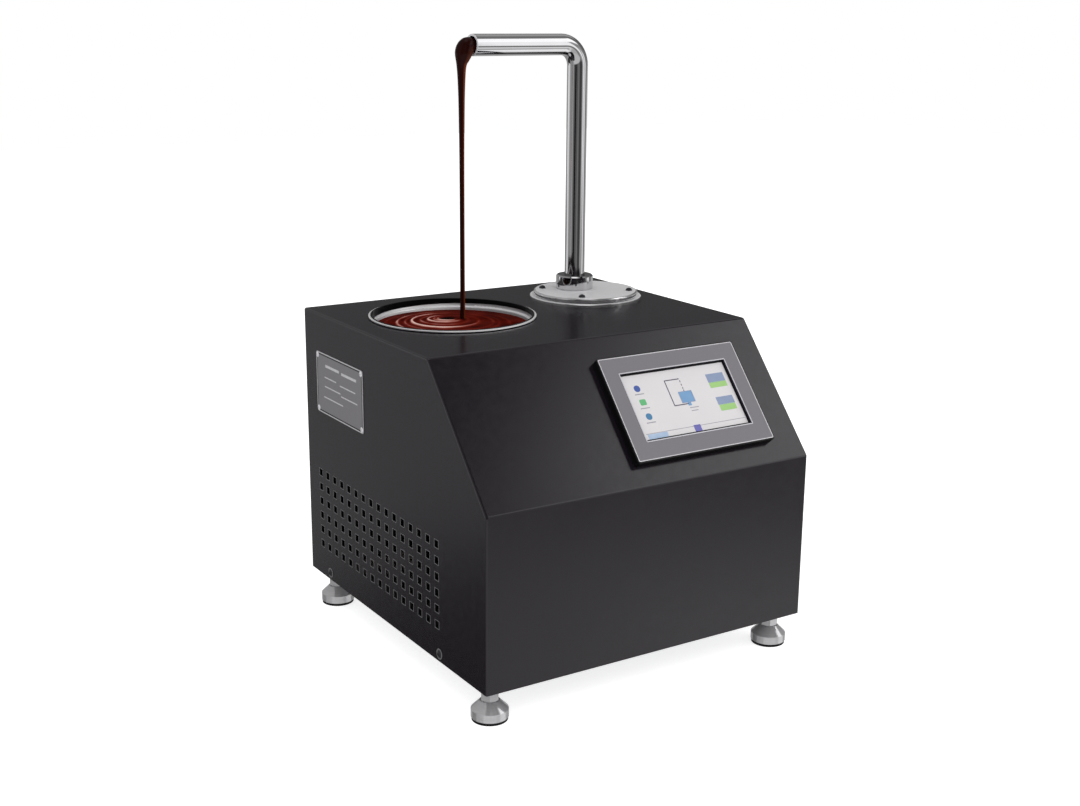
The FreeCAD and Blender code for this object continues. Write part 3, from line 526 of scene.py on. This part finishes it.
def pooled_chocolate():
    # Melted chocolate in the bowl, coloured by height: painted shade near black in the troughs,
    # painted highlight pale on the crests
    inputs = {"Specular IOR Level": 0.0, "Coat Weight": 0.05, "Coat Roughness": 0.1}
    material, tree, shader = new_finish("pooled_chocolate", inputs)
    crest = height_over(tree, pool_level, -0.9, 1.2)
    cloud = spread(tree, noise(tree, 30.0), -0.12, 0.12)
    share = add(tree, "Math", {0: crest, 1: cloud}, operation="ADD").outputs["Value"]
    colour = tones(tree, share, *swirl_shade_to_highlight)
    feed(tree, shader, colour=colour)
    feed(tree, shader, roughness=spread(tree, noise(tree, 8.0), 0.3, 0.4))
    return material


def falling_chocolate():
    # The thick stream: almost black, red-brown where light comes through its right-hand edge
    inputs = {"Specular IOR Level": 0.05, "Coat Weight": 0.1, "Coat Roughness": 0.1}
    material, tree, shader = new_finish("falling_chocolate", inputs)
    cloud = noise(tree, 9.0, 2.0, (1, 1, 0.12))
    thick = tones(tree, cloud, "#170504", "#2A0B08")
    thin = tones(tree, cloud, "#5A2412", "#763414")
    lit = facing(tree, lit_side, 0.4, 0.8)
    thinner = height_over(tree, arm_z, 0, -26)
    share = add(tree, "Math", {0: lit, 1: thinner}, operation="MULTIPLY").outputs["Value"]
    mixed = add(tree, "MixRGB", {"Fac": share, "Color1": thick, "Color2": thin})
    feed(tree, shader, colour=mixed.outputs["Color"])
    feed(tree, shader, roughness=spread(tree, cloud, 0.2, 0.3))
    return material


def bright_trim():
    # Bright edging and eyelets, finely brushed; also the painted highlight on the pipe's end
    material, tree, shader = new_finish("bright_trim", {"Metallic": 0.15})
    grain = noise(tree, 0.6, 3.0, (0.1, 1, 1))
    feed(tree, shader, colour=tones(tree, grain, "#E2E0E4", "#F4F2F6"))
    feed(tree, shader, roughness=spread(tree, grain, 0.3, 0.4))
    return material


def chamfered_rim():
    # Rim of the display opening: bright chamfer, with painted shade making its walls violet-black
    material, tree, shader = new_finish("chamfered_rim", {"Metallic": 0.2})
    grain = noise(tree, 0.9, 3.0)
    bright = facing(tree, slope_out, 0.8, 0.95)
    # Painted shade: violet-black on the walls of the recess
    wall = tones(tree, grain, "#1D1926", "#27222F")
    face = tones(tree, grain, "#C9C8CE", "#DAD9DE")
    mixed = add(tree, "MixRGB", {"Fac": bright, "Color1": wall, "Color2": face})
    feed(tree, shader, colour=mixed.outputs["Color"])
    feed(tree, shader, roughness=spread(tree, grain, 0.3, 0.4))
    return material


def pale_edge_highlight():
    # Pale painted highlight along the edges of the punched vents and round the screws
    material, tree, shader = new_finish("pale_edge_highlight", {})
    grain = noise(tree, 1.8, 3.0)
    feed(tree, shader, colour=tones(tree, grain, "#6E6C6F", "#858386"))
    feed(tree, shader, roughness=spread(tree, grain, 0.34, 0.44))
    return material


def print_and_edge_highlight():
    # Pale rules of the bare plate, slightly rubbed; also the painted highlight along its edge
    material, tree, shader = new_finish("print_and_edge_highlight", {})
    grain = noise(tree, 1.2, 3.0)
    feed(tree, shader, colour=tones(tree, grain, "#BFBEC1", "#D3D2D5"))
    feed(tree, shader, roughness=spread(tree, grain, 0.4, 0.5))
    return material


def gasket_rubber_and_rim_shade():
    # Black rubber of the gaskets, and the black lip under the bowl's rim, which is painted shade
    # inside the rim; with a wet-looking sheen
    material, tree, shader = new_finish("gasket_rubber_and_rim_shade", {"Specular IOR Level": 0.12})
    grain = noise(tree, 3.0, 2.0)
    feed(tree, shader, colour=tones(tree, grain, "#040405", "#080809"))
    feed(tree, shader, roughness=spread(tree, grain, 0.3, 0.4))
    return material


def dress(material, *names):
    # Puts the finish on carried-over CAD nodes
    for name in names:
        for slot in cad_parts[name].material_slots:
            slot.material = material


def dress_cabinet():
    dress(charcoal_powder_coat(), "cabinet_cover", "rear_panel")
    dress(punched_coat_shaded_walls(), "cabinet_side_left", "cabinet_side_right")
    dress(zinc_plate(), "base_tray", "foot_weld_nuts", "foot_locknuts", "switch_pin")
    dress(black_oxide(), "shell_screws", "rear_screws", "flange_screws")
    dress(grey_anodised_plate(), "nameplate")
    dress(foot_rubber(), *["foot_pad_" + corner for corner in foot_corners])


def dress_steelwork():
    dress(mirror_polished_steel(), "delivery_pipe", "spout_collar")
    dress(bright_trim(), "nameplate_rivets")
    dress(turned_foot_steel(), *["foot_cup_" + corner for corner in foot_corners])
    dress(turned_disc_steel(), "flange_upper", "flange_lower")
    dress(spun_bowl_steel(), "bowl")
    plain = plain_steel()
    dress(plain, "bowl_boss", "outlet_duct", "pump_barrel", "auger", "pump_base", "stirrer")
    dress(plain, "bowl_heater")


def dress_inside():
    dress(glass_fibre_wrap(), "bowl_insulation")
    dress(cast_aluminium(), "pump_lantern", "pump_gearbox", "power_supply")
    dress(turned_aluminium(), "pump_coupling")
    dress(motor_enamel(), "pump_motor", "stirrer_gearmotor", "motor_driver")
    dress(pale_moulding(), "heater_relay", "terminal_block")
    dress(bright_brass(), "inlet_pins")


def dress_plastics():
    moulded = moulded_black()
    dress(moulded, "hmi_housing", "hmi_clamps", "fan_frame", "fan_rotor")
    dress(moulded, "mains_inlet", "switch_frame")
    dress(gloss_switch(), "rocker_switch")
    dress(panel_frame_plastic(), "hmi_bezel")
    dress(display_glass(), "hmi_screen")


# ---------------------------------------------------------------- shaping by hand


def put_down():
    bpy.ops.object.select_all(action="DESELECT")


def finished(name, material, body):
    # Names the active piece, gives it its finish and sets it on its body
    piece = bpy.context.object
    piece.name = name
    piece.data.name = name
    piece.data.materials.clear()
    piece.data.materials.append(material)
    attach(piece, body)


def loop_in(radius_from, radius_to, centre, shift, drop):
    # Extrudes the open edge, then scales it about its centre and moves it
    bpy.ops.mesh.extrude_region_move()
    ratio = radius_to / radius_from
    bpy.ops.transform.resize(value=(ratio, ratio, 1), center_override=centre)
    bpy.ops.transform.translate(value=(shift[0], shift[1], drop))


# ---------------------------------------------------------------- chocolate


def ripple(radius, turn):
    # Height in mm of the swirl, turn in degrees from the right of the photograph
    turn %= 360
    front = max(0.0, -math.sin(math.radians(turn)))
    wide = crest_w + crest_w_front * front
    fade = crest_mean + crest_swing * math.cos(math.radians(turn - crest_turn))
    level = swirl_base
    for number, (left, right, height) in enumerate(swirl_crests):
        if turn < 180:
            crest = right + (left - right) * turn / 180
        else:
            # Round the front each crest winds in towards the one inside it
            inner = swirl_crests[max(0, number - 1)][1]
            crest = left + (inner - left) * (turn - 180) / 180
        level += height * fade * math.exp(-(((radius - crest) / wide) ** 2))
    calm = min(1.0, (bowl_wall - radius) / pool_calm)
    return level * calm - eye_deep * math.exp(-((radius / eye_r) ** 2))


def chocolate_pool():
    # A disc with a skin, drawn in ring by ring to the swirl's eye and then rippled
    put_down()
    rim = bowl_wall - pool_gap
    centre = Vector((bowl_x, bowl_y, pool_level - pool_skin)) * mm
    bpy.ops.mesh.primitive_circle_add(
        vertices=180, radius=rim * mm, fill_type="NGON", location=centre
    )
    bpy.ops.object.mode_set(mode="EDIT")
    bpy.ops.mesh.select_all(action="SELECT")
    bpy.ops.mesh.flip_normals()
    bpy.ops.mesh.select_mode(type="EDGE")
    bpy.ops.mesh.select_all(action="DESELECT")
    bpy.ops.mesh.select_non_manifold()
    loop_in(rim, rim, centre, (0, 0), pool_skin * mm)
    radius = rim
    at = Vector((bowl_x, bowl_y, pool_level)) * mm
    while radius > 2 * pool_step:
        smaller = radius - pool_step
        shift = Vector((swirl_x, swirl_y)) * mm * pool_step / rim
        loop_in(radius, smaller, at, shift, 0)
        at += Vector((shift.x, shift.y, 0))
        radius = smaller
    bpy.ops.mesh.edge_face_add()
    bpy.ops.object.mode_set(mode="OBJECT")
    piece = bpy.context.object
    bpy.ops.object.transform_apply(location=True)
    raise_ripples(piece, rim)
    bpy.ops.object.shade_smooth_by_angle(angle=math.radians(50))
    piece.visible_glossy = False
    finished("chocolate_pool", pooled_chocolate(), "cabinet")


def raise_ripples(piece, rim):
    # Lifts the top by the swirl, whose rings drift from the bowl's centre to the eye
    for vertex in piece.data.vertices:
        if vertex.co.z < (pool_level - 1) * mm:
            continue
        x = vertex.co.x / mm - bowl_x
        y = vertex.co.y / mm - bowl_y
        radius = rim
        for _ in range(12):
            drift = 1 - radius / rim
            radius = math.hypot(x - swirl_x * drift, y - swirl_y * drift)
        drift = 1 - radius / rim
        turn = math.degrees(math.atan2(y - swirl_y * drift, x - swirl_x * drift))
        vertex.co.z += ripple(radius, turn - camera_azimuth) * mm


def stream_points():
    # Out along the arm, to its left and down, in mm from the pipe's axis, with the radius
    fall = arm_z - pool_level - stream_stop
    return [
        (arm_len - 24, -2.2, -1.2, 9.0),
        (arm_len - 4, -2.2, -1.2, 9.0),
        (arm_len + 1, -1.9, -0.9, 9.5),
        (arm_len + 8, -0.5, -0.6, 11.0),
        (arm_len + 12.5, 0, -8, 11.4),
        (stream_reach - 1.5, 0, -16, 9.2),
        (stream_reach, 0, -23, 6.1),
        (stream_reach, 0, -37, 5.0),
        (stream_reach, 0, -52, 4.4),
        (stream_reach, 0, -68, 3.95),
        (stream_reach, 0, -103, 3.5),
        (stream_reach, 0, -147, 3.2),
        (stream_reach, 0, -233, 3.1),
        (stream_reach, 0, -fall + 6, 3.1),
        (stream_reach, 0, -fall, 3.6),
    ]


def chocolate_stream():
    # A thick rope of chocolate from inside the arm, over its lip and down to the pool
    put_down()
    curve = bpy.data.curves.new("chocolate_stream", "CURVE")
    curve.dimensions = "3D"
    curve.bevel_depth = mm
    curve.bevel_resolution = 8
    curve.use_fill_caps = True
    curve.resolution_u = 12
    line = curve.splines.new("NURBS")
    points = stream_points()
    line.points.add(len(points) - 1)
    out = Vector((math.cos(math.radians(arm_angle)), math.sin(math.radians(arm_angle)), 0))
    left = Vector((-out.y, out.x, 0))
    start = Vector((pipe_x, pipe_y, arm_z))
    for knot, (along, aside, down, radius) in zip(line.points, points):
        knot.co = (*((start + out * along + left * aside + Vector((0, 0, down))) * mm), 1)
        knot.radius = radius
    line.order_u = 3
    line.use_endpoint_u = True
    flow = bpy.data.objects.new("chocolate_stream", curve)
    bpy.context.collection.objects.link(flow)
    flow.select_set(True)
    bpy.context.view_layer.objects.active = flow
    bpy.ops.object.convert(target="MESH")
    bpy.ops.object.shade_smooth_by_angle(angle=math.radians(60))
    finished("chocolate_stream", falling_chocolate(), "spout")


# ---------------------------------------------------------------- flat trim and pictures


def ring_shape(vertices, radius, wide):
    # Starts a flat ring in edit mode, by its outer radius and width in mm
    put_down()
    bpy.ops.mesh.primitive_circle_add(vertices=vertices, radius=radius * mm, fill_type="NGON")
    bpy.ops.object.mode_set(mode="EDIT")
    bpy.ops.mesh.select_all(action="SELECT")
    bpy.ops.mesh.inset(thickness=wide * mm)
    bpy.ops.mesh.delete(type="FACE")


def outlet_ring():
    # Bright ring on the pipe's square-cut end: a painted highlight
    ring_shape(64, outlet_r, outlet_w)
    turned = Matrix.Rotation(math.radians(arm_angle), 4, "Z") @ Matrix.Rotation(math.pi / 2, 4, "Y")
    at = Matrix.Translation(Vector((pipe_x, pipe_y, arm_z)) * mm)
    end = Matrix.Translation(Vector((0, 0, arm_len - edging_sunk)) * mm)
    raised(outlet_t, at @ turned @ end)
    finished("outlet_ring", bpy.data.materials["bright_trim"], "spout")


def slope_matrix(x, y, lift):
    # Face of the slope: x to the right, y up it, lift out of it, from the panel's centre
    angle = math.atan2(slope_rise, slope_run)
    up = Vector((0, math.cos(angle), math.sin(angle)))
    foot = Vector((panel_x + x, slope_foot_y, slope_foot_z))
    spot = foot + up * (panel_up + y) + slope_out * lift
    return Matrix.Translation(spot * mm) @ Matrix.Rotation(angle, 4, "X")


def side_matrix(side, y, z, lift):
    # Face of the left (-1) or right (1) side, seen from outside
    turned = Matrix(((0, side, 0), (0, 0, 1), (side, 0, 0))).transposed().to_4x4()
    return Matrix.Translation(Vector((side * (half_w + lift), y, z)) * mm) @ turned


def flat_shape(w, h, soft=0.0):
    # Starts a thin shape w by h mm in edit mode, its corners rounded by soft mm
    put_down()
    bpy.ops.mesh.primitive_plane_add(size=mm)
    bpy.ops.object.mode_set(mode="EDIT")
    bpy.ops.mesh.select_all(action="SELECT")
    bpy.ops.transform.resize(value=(w, h, 1))
    if soft:
        bpy.ops.mesh.bevel(offset=soft * mm, segments=5, affect="VERTICES")


def raised(thick, place):
    # Gives the shape its thickness and sets it on its face of the machine
    bpy.ops.mesh.select_all(action="SELECT")
    bpy.ops.mesh.extrude_region_move(TRANSFORM_OT_translate={"value": (0, 0, thick * mm)})
    bpy.ops.mesh.select_all(action="SELECT")
    bpy.ops.mesh.normals_make_consistent(inside=False)
    bpy.ops.object.mode_set(mode="OBJECT")
    piece = bpy.context.object
    piece.data.transform(place)
    return piece


def tile(x, y, w, h, soft=0.0, thick=0.12):
    # One flat shape of the display's picture
    flat_shape(w, h, soft)
    return raised(thick, slope_matrix(x, y, screen_front + picture_off))


def edging(w, h, soft, wide, thick, place):
    # A thin frame, w by h mm outside
    flat_shape(w, h, soft)
    bpy.ops.mesh.inset(thickness=wide * mm)
    bpy.ops.mesh.delete(type="FACE")
    return raised(thick, place)


def edging_in(w, h, trim, place):
    # A thin frame set in from an outline w by h mm
    inset, soft, wide, thick = trim
    return edging(w - inset, h - inset, soft, wide, thick, place)


def copy_on_side(first, side, y, z):
    # A copy of a small trim, with its own mesh, set on a side of the cabinet
    piece = first.copy()
    piece.data = first.data.copy()
    piece.data.transform(side_matrix(side, y, z, -trim_sunk))
    bpy.context.collection.objects.link(piece)
    return piece


def gather(name, material, tiles):
    # Joins shapes into one named piece of the cabinet
    put_down()
    for piece in tiles:
        piece.select_set(True)
    bpy.context.view_layer.objects.active = tiles[0]
    if len(tiles) > 1:
        bpy.ops.object.join()
    finished(name, material, "cabinet")


def panel_edging():
    # Black edge, fine bright line inside it, chamfered rim and a dark band of painted shadow round
    # the display
    black = bpy.data.materials["moulded_black"]
    flush = slope_matrix(0, 0, frame_front - edging_sunk)
    gather("panel_black_edge", black, [edging_in(frame_w, frame_h, black_edge, flush)])
    line = edging_in(frame_w, frame_h, bright_line, flush)
    gather("panel_bright_line", bpy.data.materials["bright_trim"], [line])
    sunk = slope_matrix(0, opening_up, screen_front + chamfer_off)
    rim = edging_in(opening_w, opening_h, display_chamfer, sunk)
    gather("display_rim", chamfered_rim(), [rim])
    # Painted shadow: a dark band on the display just inside its rim
    face = slope_matrix(0.6, opening_up + 0.7, screen_front + picture_off)
    gather("display_shadow_line", black, [edging_in(opening_w, opening_h, display_shadow_band, face)])


def vent_edges(name, side, finish):
    # One pale edge, a painted highlight, is modelled, and copied round every vent of a side
    first = edging_in(vent, vent, vent_trim, Matrix())
    edges = []
    for column in range(vent_cols):
        for row in range(vent_rows):
            y = vent_from_y - column * vent_pitch_y
            z = vent_from_z + row * vent_pitch_z
            edges.append(copy_on_side(first, side, y, z))
    bpy.data.objects.remove(first)
    gather(name, finish, edges)


# Plain bars and rules of the bare plate: forward and up from its middle, width, height
plate_marks = (
    (20, 24, 40, 3.4),
    (-28, 23, 42, 3.4),
    (26, 9, 34, 1.5),
    (-24, 7, 44, 1.5),
    (20, -3, 46, 1.5),
    (-28, -6, 46, 1.5),
    (18, -17, 56, 1.5),
)


def plate_print_and_edge_shading():
    # Pale painted highlight along the plate's edge, a band of painted shadow inside it and a few
    # plain bars on the bare plate
    finish = print_and_edge_highlight()
    lift = plate_t - trim_sunk
    face = side_matrix(-1, plate_y, plate_z, lift)
    gather("plate_edge_highlight", finish, [edging_in(plate_w, plate_h, plate_edge_highlight, face)])
    shadow_band = edging_in(plate_w, plate_h, plate_edge_shadow, face)
    gather("plate_edge_shadow", bpy.data.materials["moulded_black"], [shadow_band])
    rules = []
    for forward, up, w, h in plate_marks:
        flat_shape(w, h, 0.2)
        rules.append(raised(mark_t, side_matrix(-1, plate_y + forward, plate_z + up, lift)))
    gather("plate_rules", finish, rules)


def screw_highlight_rings():
    # One pale ring, a painted highlight round a screw head, is modelled, and copied round each
    # screw of the sides
    ring_shape(32, ring_r, ring_w)
    first = raised(ring_t, Matrix())
    rings = [copy_on_side(first, side, y, screw_z) for side in (-1, 1) for y in screw_rows]
    bpy.data.objects.remove(first)
    gather("screw_highlight_rings", bpy.data.materials["pale_edge_highlight"], rings)


def bowl_shade_lip():
    # Thin black lip round the bowl's mouth, turned over the rim's inner edge: painted shade inside
    # the rim
    put_down()
    centre = Vector((bowl_x, bowl_y, lip_low)) * mm
    mouth = (bowl_mouth - lip_clear) * mm
    bpy.ops.mesh.primitive_circle_add(
        vertices=160, radius=mouth, fill_type="NOTHING", location=centre
    )
    bpy.ops.object.mode_set(mode="EDIT")
    bpy.ops.mesh.select_all(action="SELECT")
    bpy.ops.transform.rotate(value=lip_tilt, orient_axis="Y", center_override=centre)
    bpy.ops.mesh.extrude_region_move()
    bpy.ops.transform.rotate(value=-lip_tilt, orient_axis="Y", center_override=centre)
    bpy.ops.transform.translate(value=(0, 0, (lip_high - lip_low) * mm))
    bpy.ops.mesh.extrude_region_move()
    ratio = lip_over / bowl_mouth
    bpy.ops.transform.resize(value=(ratio, ratio, 1), center_override=centre)
    bpy.ops.mesh.select_all(action="SELECT")
    bpy.ops.mesh.normals_make_consistent(inside=False)
    bpy.ops.object.mode_set(mode="OBJECT")
    bpy.ops.object.transform_apply(location=True)
    piece = bpy.context.object
    wall = piece.modifiers.new("wall", "SOLIDIFY")
    wall.thickness = lip_wall * mm
    wall.offset = 1
    bpy.ops.object.modifier_apply(modifier="wall")
    bpy.ops.object.shade_smooth_by_angle(angle=math.radians(40))
    rubber = gasket_rubber_and_rim_shade()
    dress(rubber, "bowl_gasket", "flange_gasket")
    finished("bowl_shade_lip", rubber, "cabinet")


def display_picture():
    # A plain layout of keys, captions, a tank with its pipes and four bars, made up
    blue = picture_ink("picture_blue", "#34509A", "#3C5AA6")
    green = picture_ink("picture_green", "#55AE70", "#60BC7C")
    teal = picture_ink("picture_teal", "#3A789F", "#427FAA")
    grey = picture_ink("picture_grey", "#8F8E98", "#9B9AA4")
    dark = picture_ink("picture_dark", "#3F3B50", "#4A465C")
    tank = picture_ink("picture_tank_blue", "#6794C0", "#76A2CC")
    slate = picture_ink("picture_slate", "#7F8FAE", "#8C9BBB")
    leaf = picture_ink("picture_leaf", "#95C470", "#A2D07E")
    violet = picture_ink("picture_violet", "#6360AE", "#6E6BBA")
    gather("display_key_top", blue, [tile(-58.9, 24.8, 8.5, 8.5, 3.9)])
    gather("display_key_middle", green, [tile(-58.4, 6.7, 8.8, 7.8, 1.8)])
    gather("display_key_lower", teal, [tile(-58.4, -12.1, 8.5, 8.5, 3.9)])
    captions = [tile(-58.6, y, 13, 1.1, 0.3) for y in (17.4, -1.0, -19.8)]
    captions += [tile(9.0, -9.6, 13, 1.0, 0.3), tile(8.0, -13.6, 10, 0.9, 0.3)]
    gather("display_captions", grey, captions)
    pipes = [
        tile(-6.8, 29.4, 21.6, 1.2, 0.4),
        tile(-17.3, 13.0, 1.2, 33.6, 0.4),
        tile(-7.0, -4.0, 21.2, 1.2, 0.4),
    ]
    pipes += [tile(4.2, y, 1.0, 2.6) for y in (26.0, 21.4, 16.8, 13.4)]
    gather("display_pipes", dark, pipes)
    face = slope_matrix(4.6, 5.1, screen_front + picture_off)
    outline = edging(19.4, 15.0, 0.4, 0.7, 0.3, face)
    gather("display_tank_outline", slate, [outline])
    gather("display_tank", tank, [tile(4.6, 5.1, 18.4, 14, 0.4), tile(4.6, -4.4, 5, 4.6, 0.4)])
    bars = [tile(56.7, 24.0, 26, 11.4, 0.4), tile(56.9, -6.8, 25, 10.2, 0.4)]
    gather("display_bars_slate", slate, bars)
    bars = [tile(56.8, 14.6, 25.6, 7.2, 0.4), tile(56.9, -16.1, 24, 8.0, 0.4)]
    gather("display_bars_leaf", leaf, bars)
    gather("display_square", violet, [tile(1.5, -36.3, 10.0, 8.6, 0.4)])
    gather("display_foot_line", grey, [tile(1.0, -33.4, 146, 0.6)])
    patch = picture_ink("picture_pale_blue", "#8FAED2", "#BCCCE2")
    gather("display_foot_patch", patch, [tile(-56.5, -38.4, 28, 8.6, 0.4)])


# ---------------------------------------------------------------- room, light and camera


# Degrees round from X and above the horizon, brightness and soft edge of each card
studio_cards = (
    ((60, 100), (-90, 3), 0.42, 6),
    ((98, 116), (-90, 3), 0.36, 5),
    ((104, 124), (-90, -6.5), 0.25, 1.5),
    ((110, 124), (-90, -22), 0.0, 1.5),
    ((118, 133), (-6.5, 3), 1.0, 1.5),
    ((126, 136), (-19, -6), 0.95, 1.5),
    ((134, 150), (-18, 3), 0.72, 2.5),
    ((116, 150), (-90, -20), 0.04, 1.5),
    ((180, 198), (-90, 70), 0.38, 4),
    ((197, 212), (-13, 70), 0.13, 4),
    ((211, 230), (-13, 70), 0.01, 3),
    ((230, 246), (-13, 70), 0.1, 3),
    ((246, 261), (-13, 70), 0.18, 3),
    ((261, 293), (-13, 70), 0.06, 4),
    ((200, 284), (-60, -14), 0.6, 3),
    ((293, 306), (-14, 6), 0.45, 3),
    ((282, 305), (-60, -14), 0.5, 6),
    ((305, 350), (-60, -14), 0.85, 6),
    ((288, 322), (-20, -11), 0.2, 2),
    ((296, 332), (50, 70), 0.0, 3),
    ((305, 322), (22, 41), 1.35, 3),
    ((307, 316), (-7, 24), 1.15, 2),
    ((321, 332), (24, 49), 1.4, 2.5),
    ((326, 345), (22, 47), 1.4, 3),
    ((322, 341), (-14, 8), 0.85, 3),
    ((341, 362), (-14, 12), 0.18, 4),
    ((362, 430), (-12, 0), 0.5, 5),
    ((348, 372), (12, 58), 0.15, 4),
    ((372, 430), (0, 30), 0.1, 5),
    ((378, 430), (30, 52), 0.4, 5),
    ((312, 324), (-42, -30), 0.45, 3),
    ((324, 342), (-60, -38), 1.1, 4),
    ((342, 357), (-60, -38), 0.8, 4),
    ((357, 398), (-62, -45), 0.1, 3),
    ((398, 430), (-60, -12), 0.4, 4),
    ((80, 460), (76, 100), 1.1, 4),
)


def between(tree, value, low, high, soft):
    # 1 from low to high, fading to 0 over soft on both sides
    rise = {"Value": value, "From Min": low - soft, "From Max": low + soft}
    fall = {"Value": value, "From Min": high - soft, "From Max": high + soft}
    fall |= {"To Min": 1.0, "To Max": 0.0}
    rise = add(tree, "MapRange", rise, interpolation_type="SMOOTHSTEP").outputs["Result"]
    fall = add(tree, "MapRange", fall, interpolation_type="SMOOTHSTEP").outputs["Result"]
    return add(tree, "Math", {0: rise, 1: fall}, operation="MULTIPLY").outputs["Value"]


def card(tree, level, round_, height, across, up, brightness, soft=5.0):
    # A bright or dark card of the studio, by its degrees round and above the horizon
    side = between(tree, round_, across[0], across[1], soft)
    rise = between(tree, height, up[0], up[1], soft)
    share = add(tree, "Math", {0: side, 1: rise}, operation="MULTIPLY").outputs["Value"]
    made = add(tree, "Mix", {"Factor": share, "A": level, "B": brightness})
    return made.outputs["Result"]


def studio_reflections(tree):
    # What polished metal sees: a grey room with soft boxes and dark gaps between them
    spot = add(tree, "TexCoord").outputs["Generated"]
    parts = add(tree, "SeparateXYZ", {"Vector": spot}).outputs
    turn = add(tree, "Math", {0: parts["Y"], 1: parts["X"]}, operation="ARCTAN2")
    turn = add(tree, "Math", {0: turn.outputs["Value"]}, operation="DEGREES")
    # Runs from 90 to 450 degrees, so that no card crosses the seam
    past = add(tree, "Math", {0: turn.outputs["Value"], 1: 270.0}, operation="ADD")
    past = add(tree, "Math", {0: past.outputs["Value"], 1: 360.0}, operation="FLOORED_MODULO")
    past = add(tree, "Math", {0: past.outputs["Value"], 1: 90.0}, operation="ADD")
    turn = past.outputs["Value"]
    rise = add(tree, "Math", {0: parts["Z"]}, operation="ARCSINE")
    rise = add(tree, "Math", {0: rise.outputs["Value"]}, operation="DEGREES").outputs["Value"]
    level = grey_room
    for across, up, brightness, soft in studio_cards:
        level = card(tree, level, turn, rise, across, up, brightness, soft)
    # A shiny thing seen in another shiny one is dimmer than the thing itself
    depth = add(tree, "LightPath").outputs["Glossy Depth"]
    dim = {"Value": depth, "From Min": 1.0, "From Max": 2.0}
    dim |= {"To Min": 1.0, "To Max": second_look}
    dim = add(tree, "MapRange", dim).outputs["Result"]
    return add(tree, "Math", {0: level, 1: dim}, operation="MULTIPLY").outputs["Value"]


def studio_room():
    # White for the camera, the cards for what shines, an even grey-white for the rest
    world = bpy.data.worlds.new("studio_room")
    bpy.context.scene.world = world
    world.use_nodes = True
    tree = world.node_tree
    shader = tree.nodes["Background"]
    ray = add(tree, "LightPath").outputs
    seen = add(tree, "Math", {0: ray["Is Camera Ray"], 1: ray["Is Transmission Ray"]})
    room = add(tree, "Mix", {"Factor": ray["Is Glossy Ray"], "A": room_level})
    tree.links.new(studio_reflections(tree), room.inputs["B"])
    inputs = {"Factor": seen.outputs["Value"], "A": room.outputs["Result"], "B": 1.0}
    level = add(tree, "Mix", inputs)
    tree.links.new(level.outputs["Result"], shader.inputs["Strength"])
    shader.inputs["Color"].default_value = (1, 1, 1, 1)


def pale_floor():
    # Melts into the white background, and keeps the shadow under the machine
    put_down()
    bpy.ops.mesh.primitive_plane_add(size=floor_size)
    floor = bpy.context.object
    floor.name = "floor"
    material, tree, shader = new_finish("pale_studio_floor", {"Roughness": 0.9})
    cloud = noise(tree, 400.0)
    feed(tree, shader, colour=tones(tree, cloud, "#EDEDEE", "#F0F0F1"))
    seen = add(tree, "LightPath").outputs["Is Camera Ray"]
    glow = add(tree, "Math", {0: seen, 1: room_level}, operation="MULTIPLY").outputs["Value"]
    shader.inputs["Emission Color"].default_value = (1, 1, 1, 1)
    tree.links.new(glow, shader.inputs["Emission Strength"])
    floor.data.materials.append(material)
    floor.visible_glossy = False


def soft_light(name, place, power):
    light = bpy.data.lights.new(name, "AREA")
    light.shape = "SQUARE"
    light.size = lamp_size
    light.energy = power
    lamp = bpy.data.objects.new(name, light)
    bpy.context.collection.objects.link(lamp)
    lamp.location = place
    lamp.rotation_euler = (Vector(lamp_aim) - Vector(place)).to_track_quat("-Z", "Y").to_euler()
    lamp.visible_glossy = False


def photograph_camera():
    azimuth = math.radians(camera_azimuth)
    rise = math.radians(camera_rise)
    roll = math.radians(camera_roll)
    back = Vector(
        (
            math.sin(azimuth) * math.cos(rise),
            -math.cos(azimuth) * math.cos(rise),
            math.sin(rise),
        )
    )
    right = Vector((math.cos(azimuth), math.sin(azimuth), 0))
    up = back.cross(right)
    level = right * math.cos(roll) + up * math.sin(roll)
    upright = up * math.cos(roll) - right * math.sin(roll)
    lens = bpy.data.cameras.new("camera")
    lens.lens = camera_lens
    lens.sensor_width = camera_sensor
    lens.sensor_fit = "HORIZONTAL"
    lens.clip_end = 50
    camera = bpy.data.objects.new("camera", lens)
    bpy.context.collection.objects.link(camera)
    turned = Matrix((level, upright, back)).transposed().to_4x4()
    camera.matrix_world = Matrix.Translation(Vector(camera_at) * mm) @ turned
    bpy.context.scene.camera = camera


bpy.context.scene.view_settings.view_transform = "Standard"
dress_cabinet()
dress_steelwork()
dress_inside()
dress_plastics()
chocolate_pool()
chocolate_stream()
outlet_ring()
bowl_shade_lip()
panel_edging()
display_picture()
vent_highlight = pale_edge_highlight()
vent_edges("vent_edges_left", -1, vent_highlight)
vent_edges("vent_edges_right", 1, vent_highlight)
screw_highlight_rings()
plate_print_and_edge_shading()
studio_room()
pale_floor()
for lamp_name, lamp_at, lamp_power in studio_lamps:
    soft_light(lamp_name, lamp_at, lamp_power)
photograph_camera()
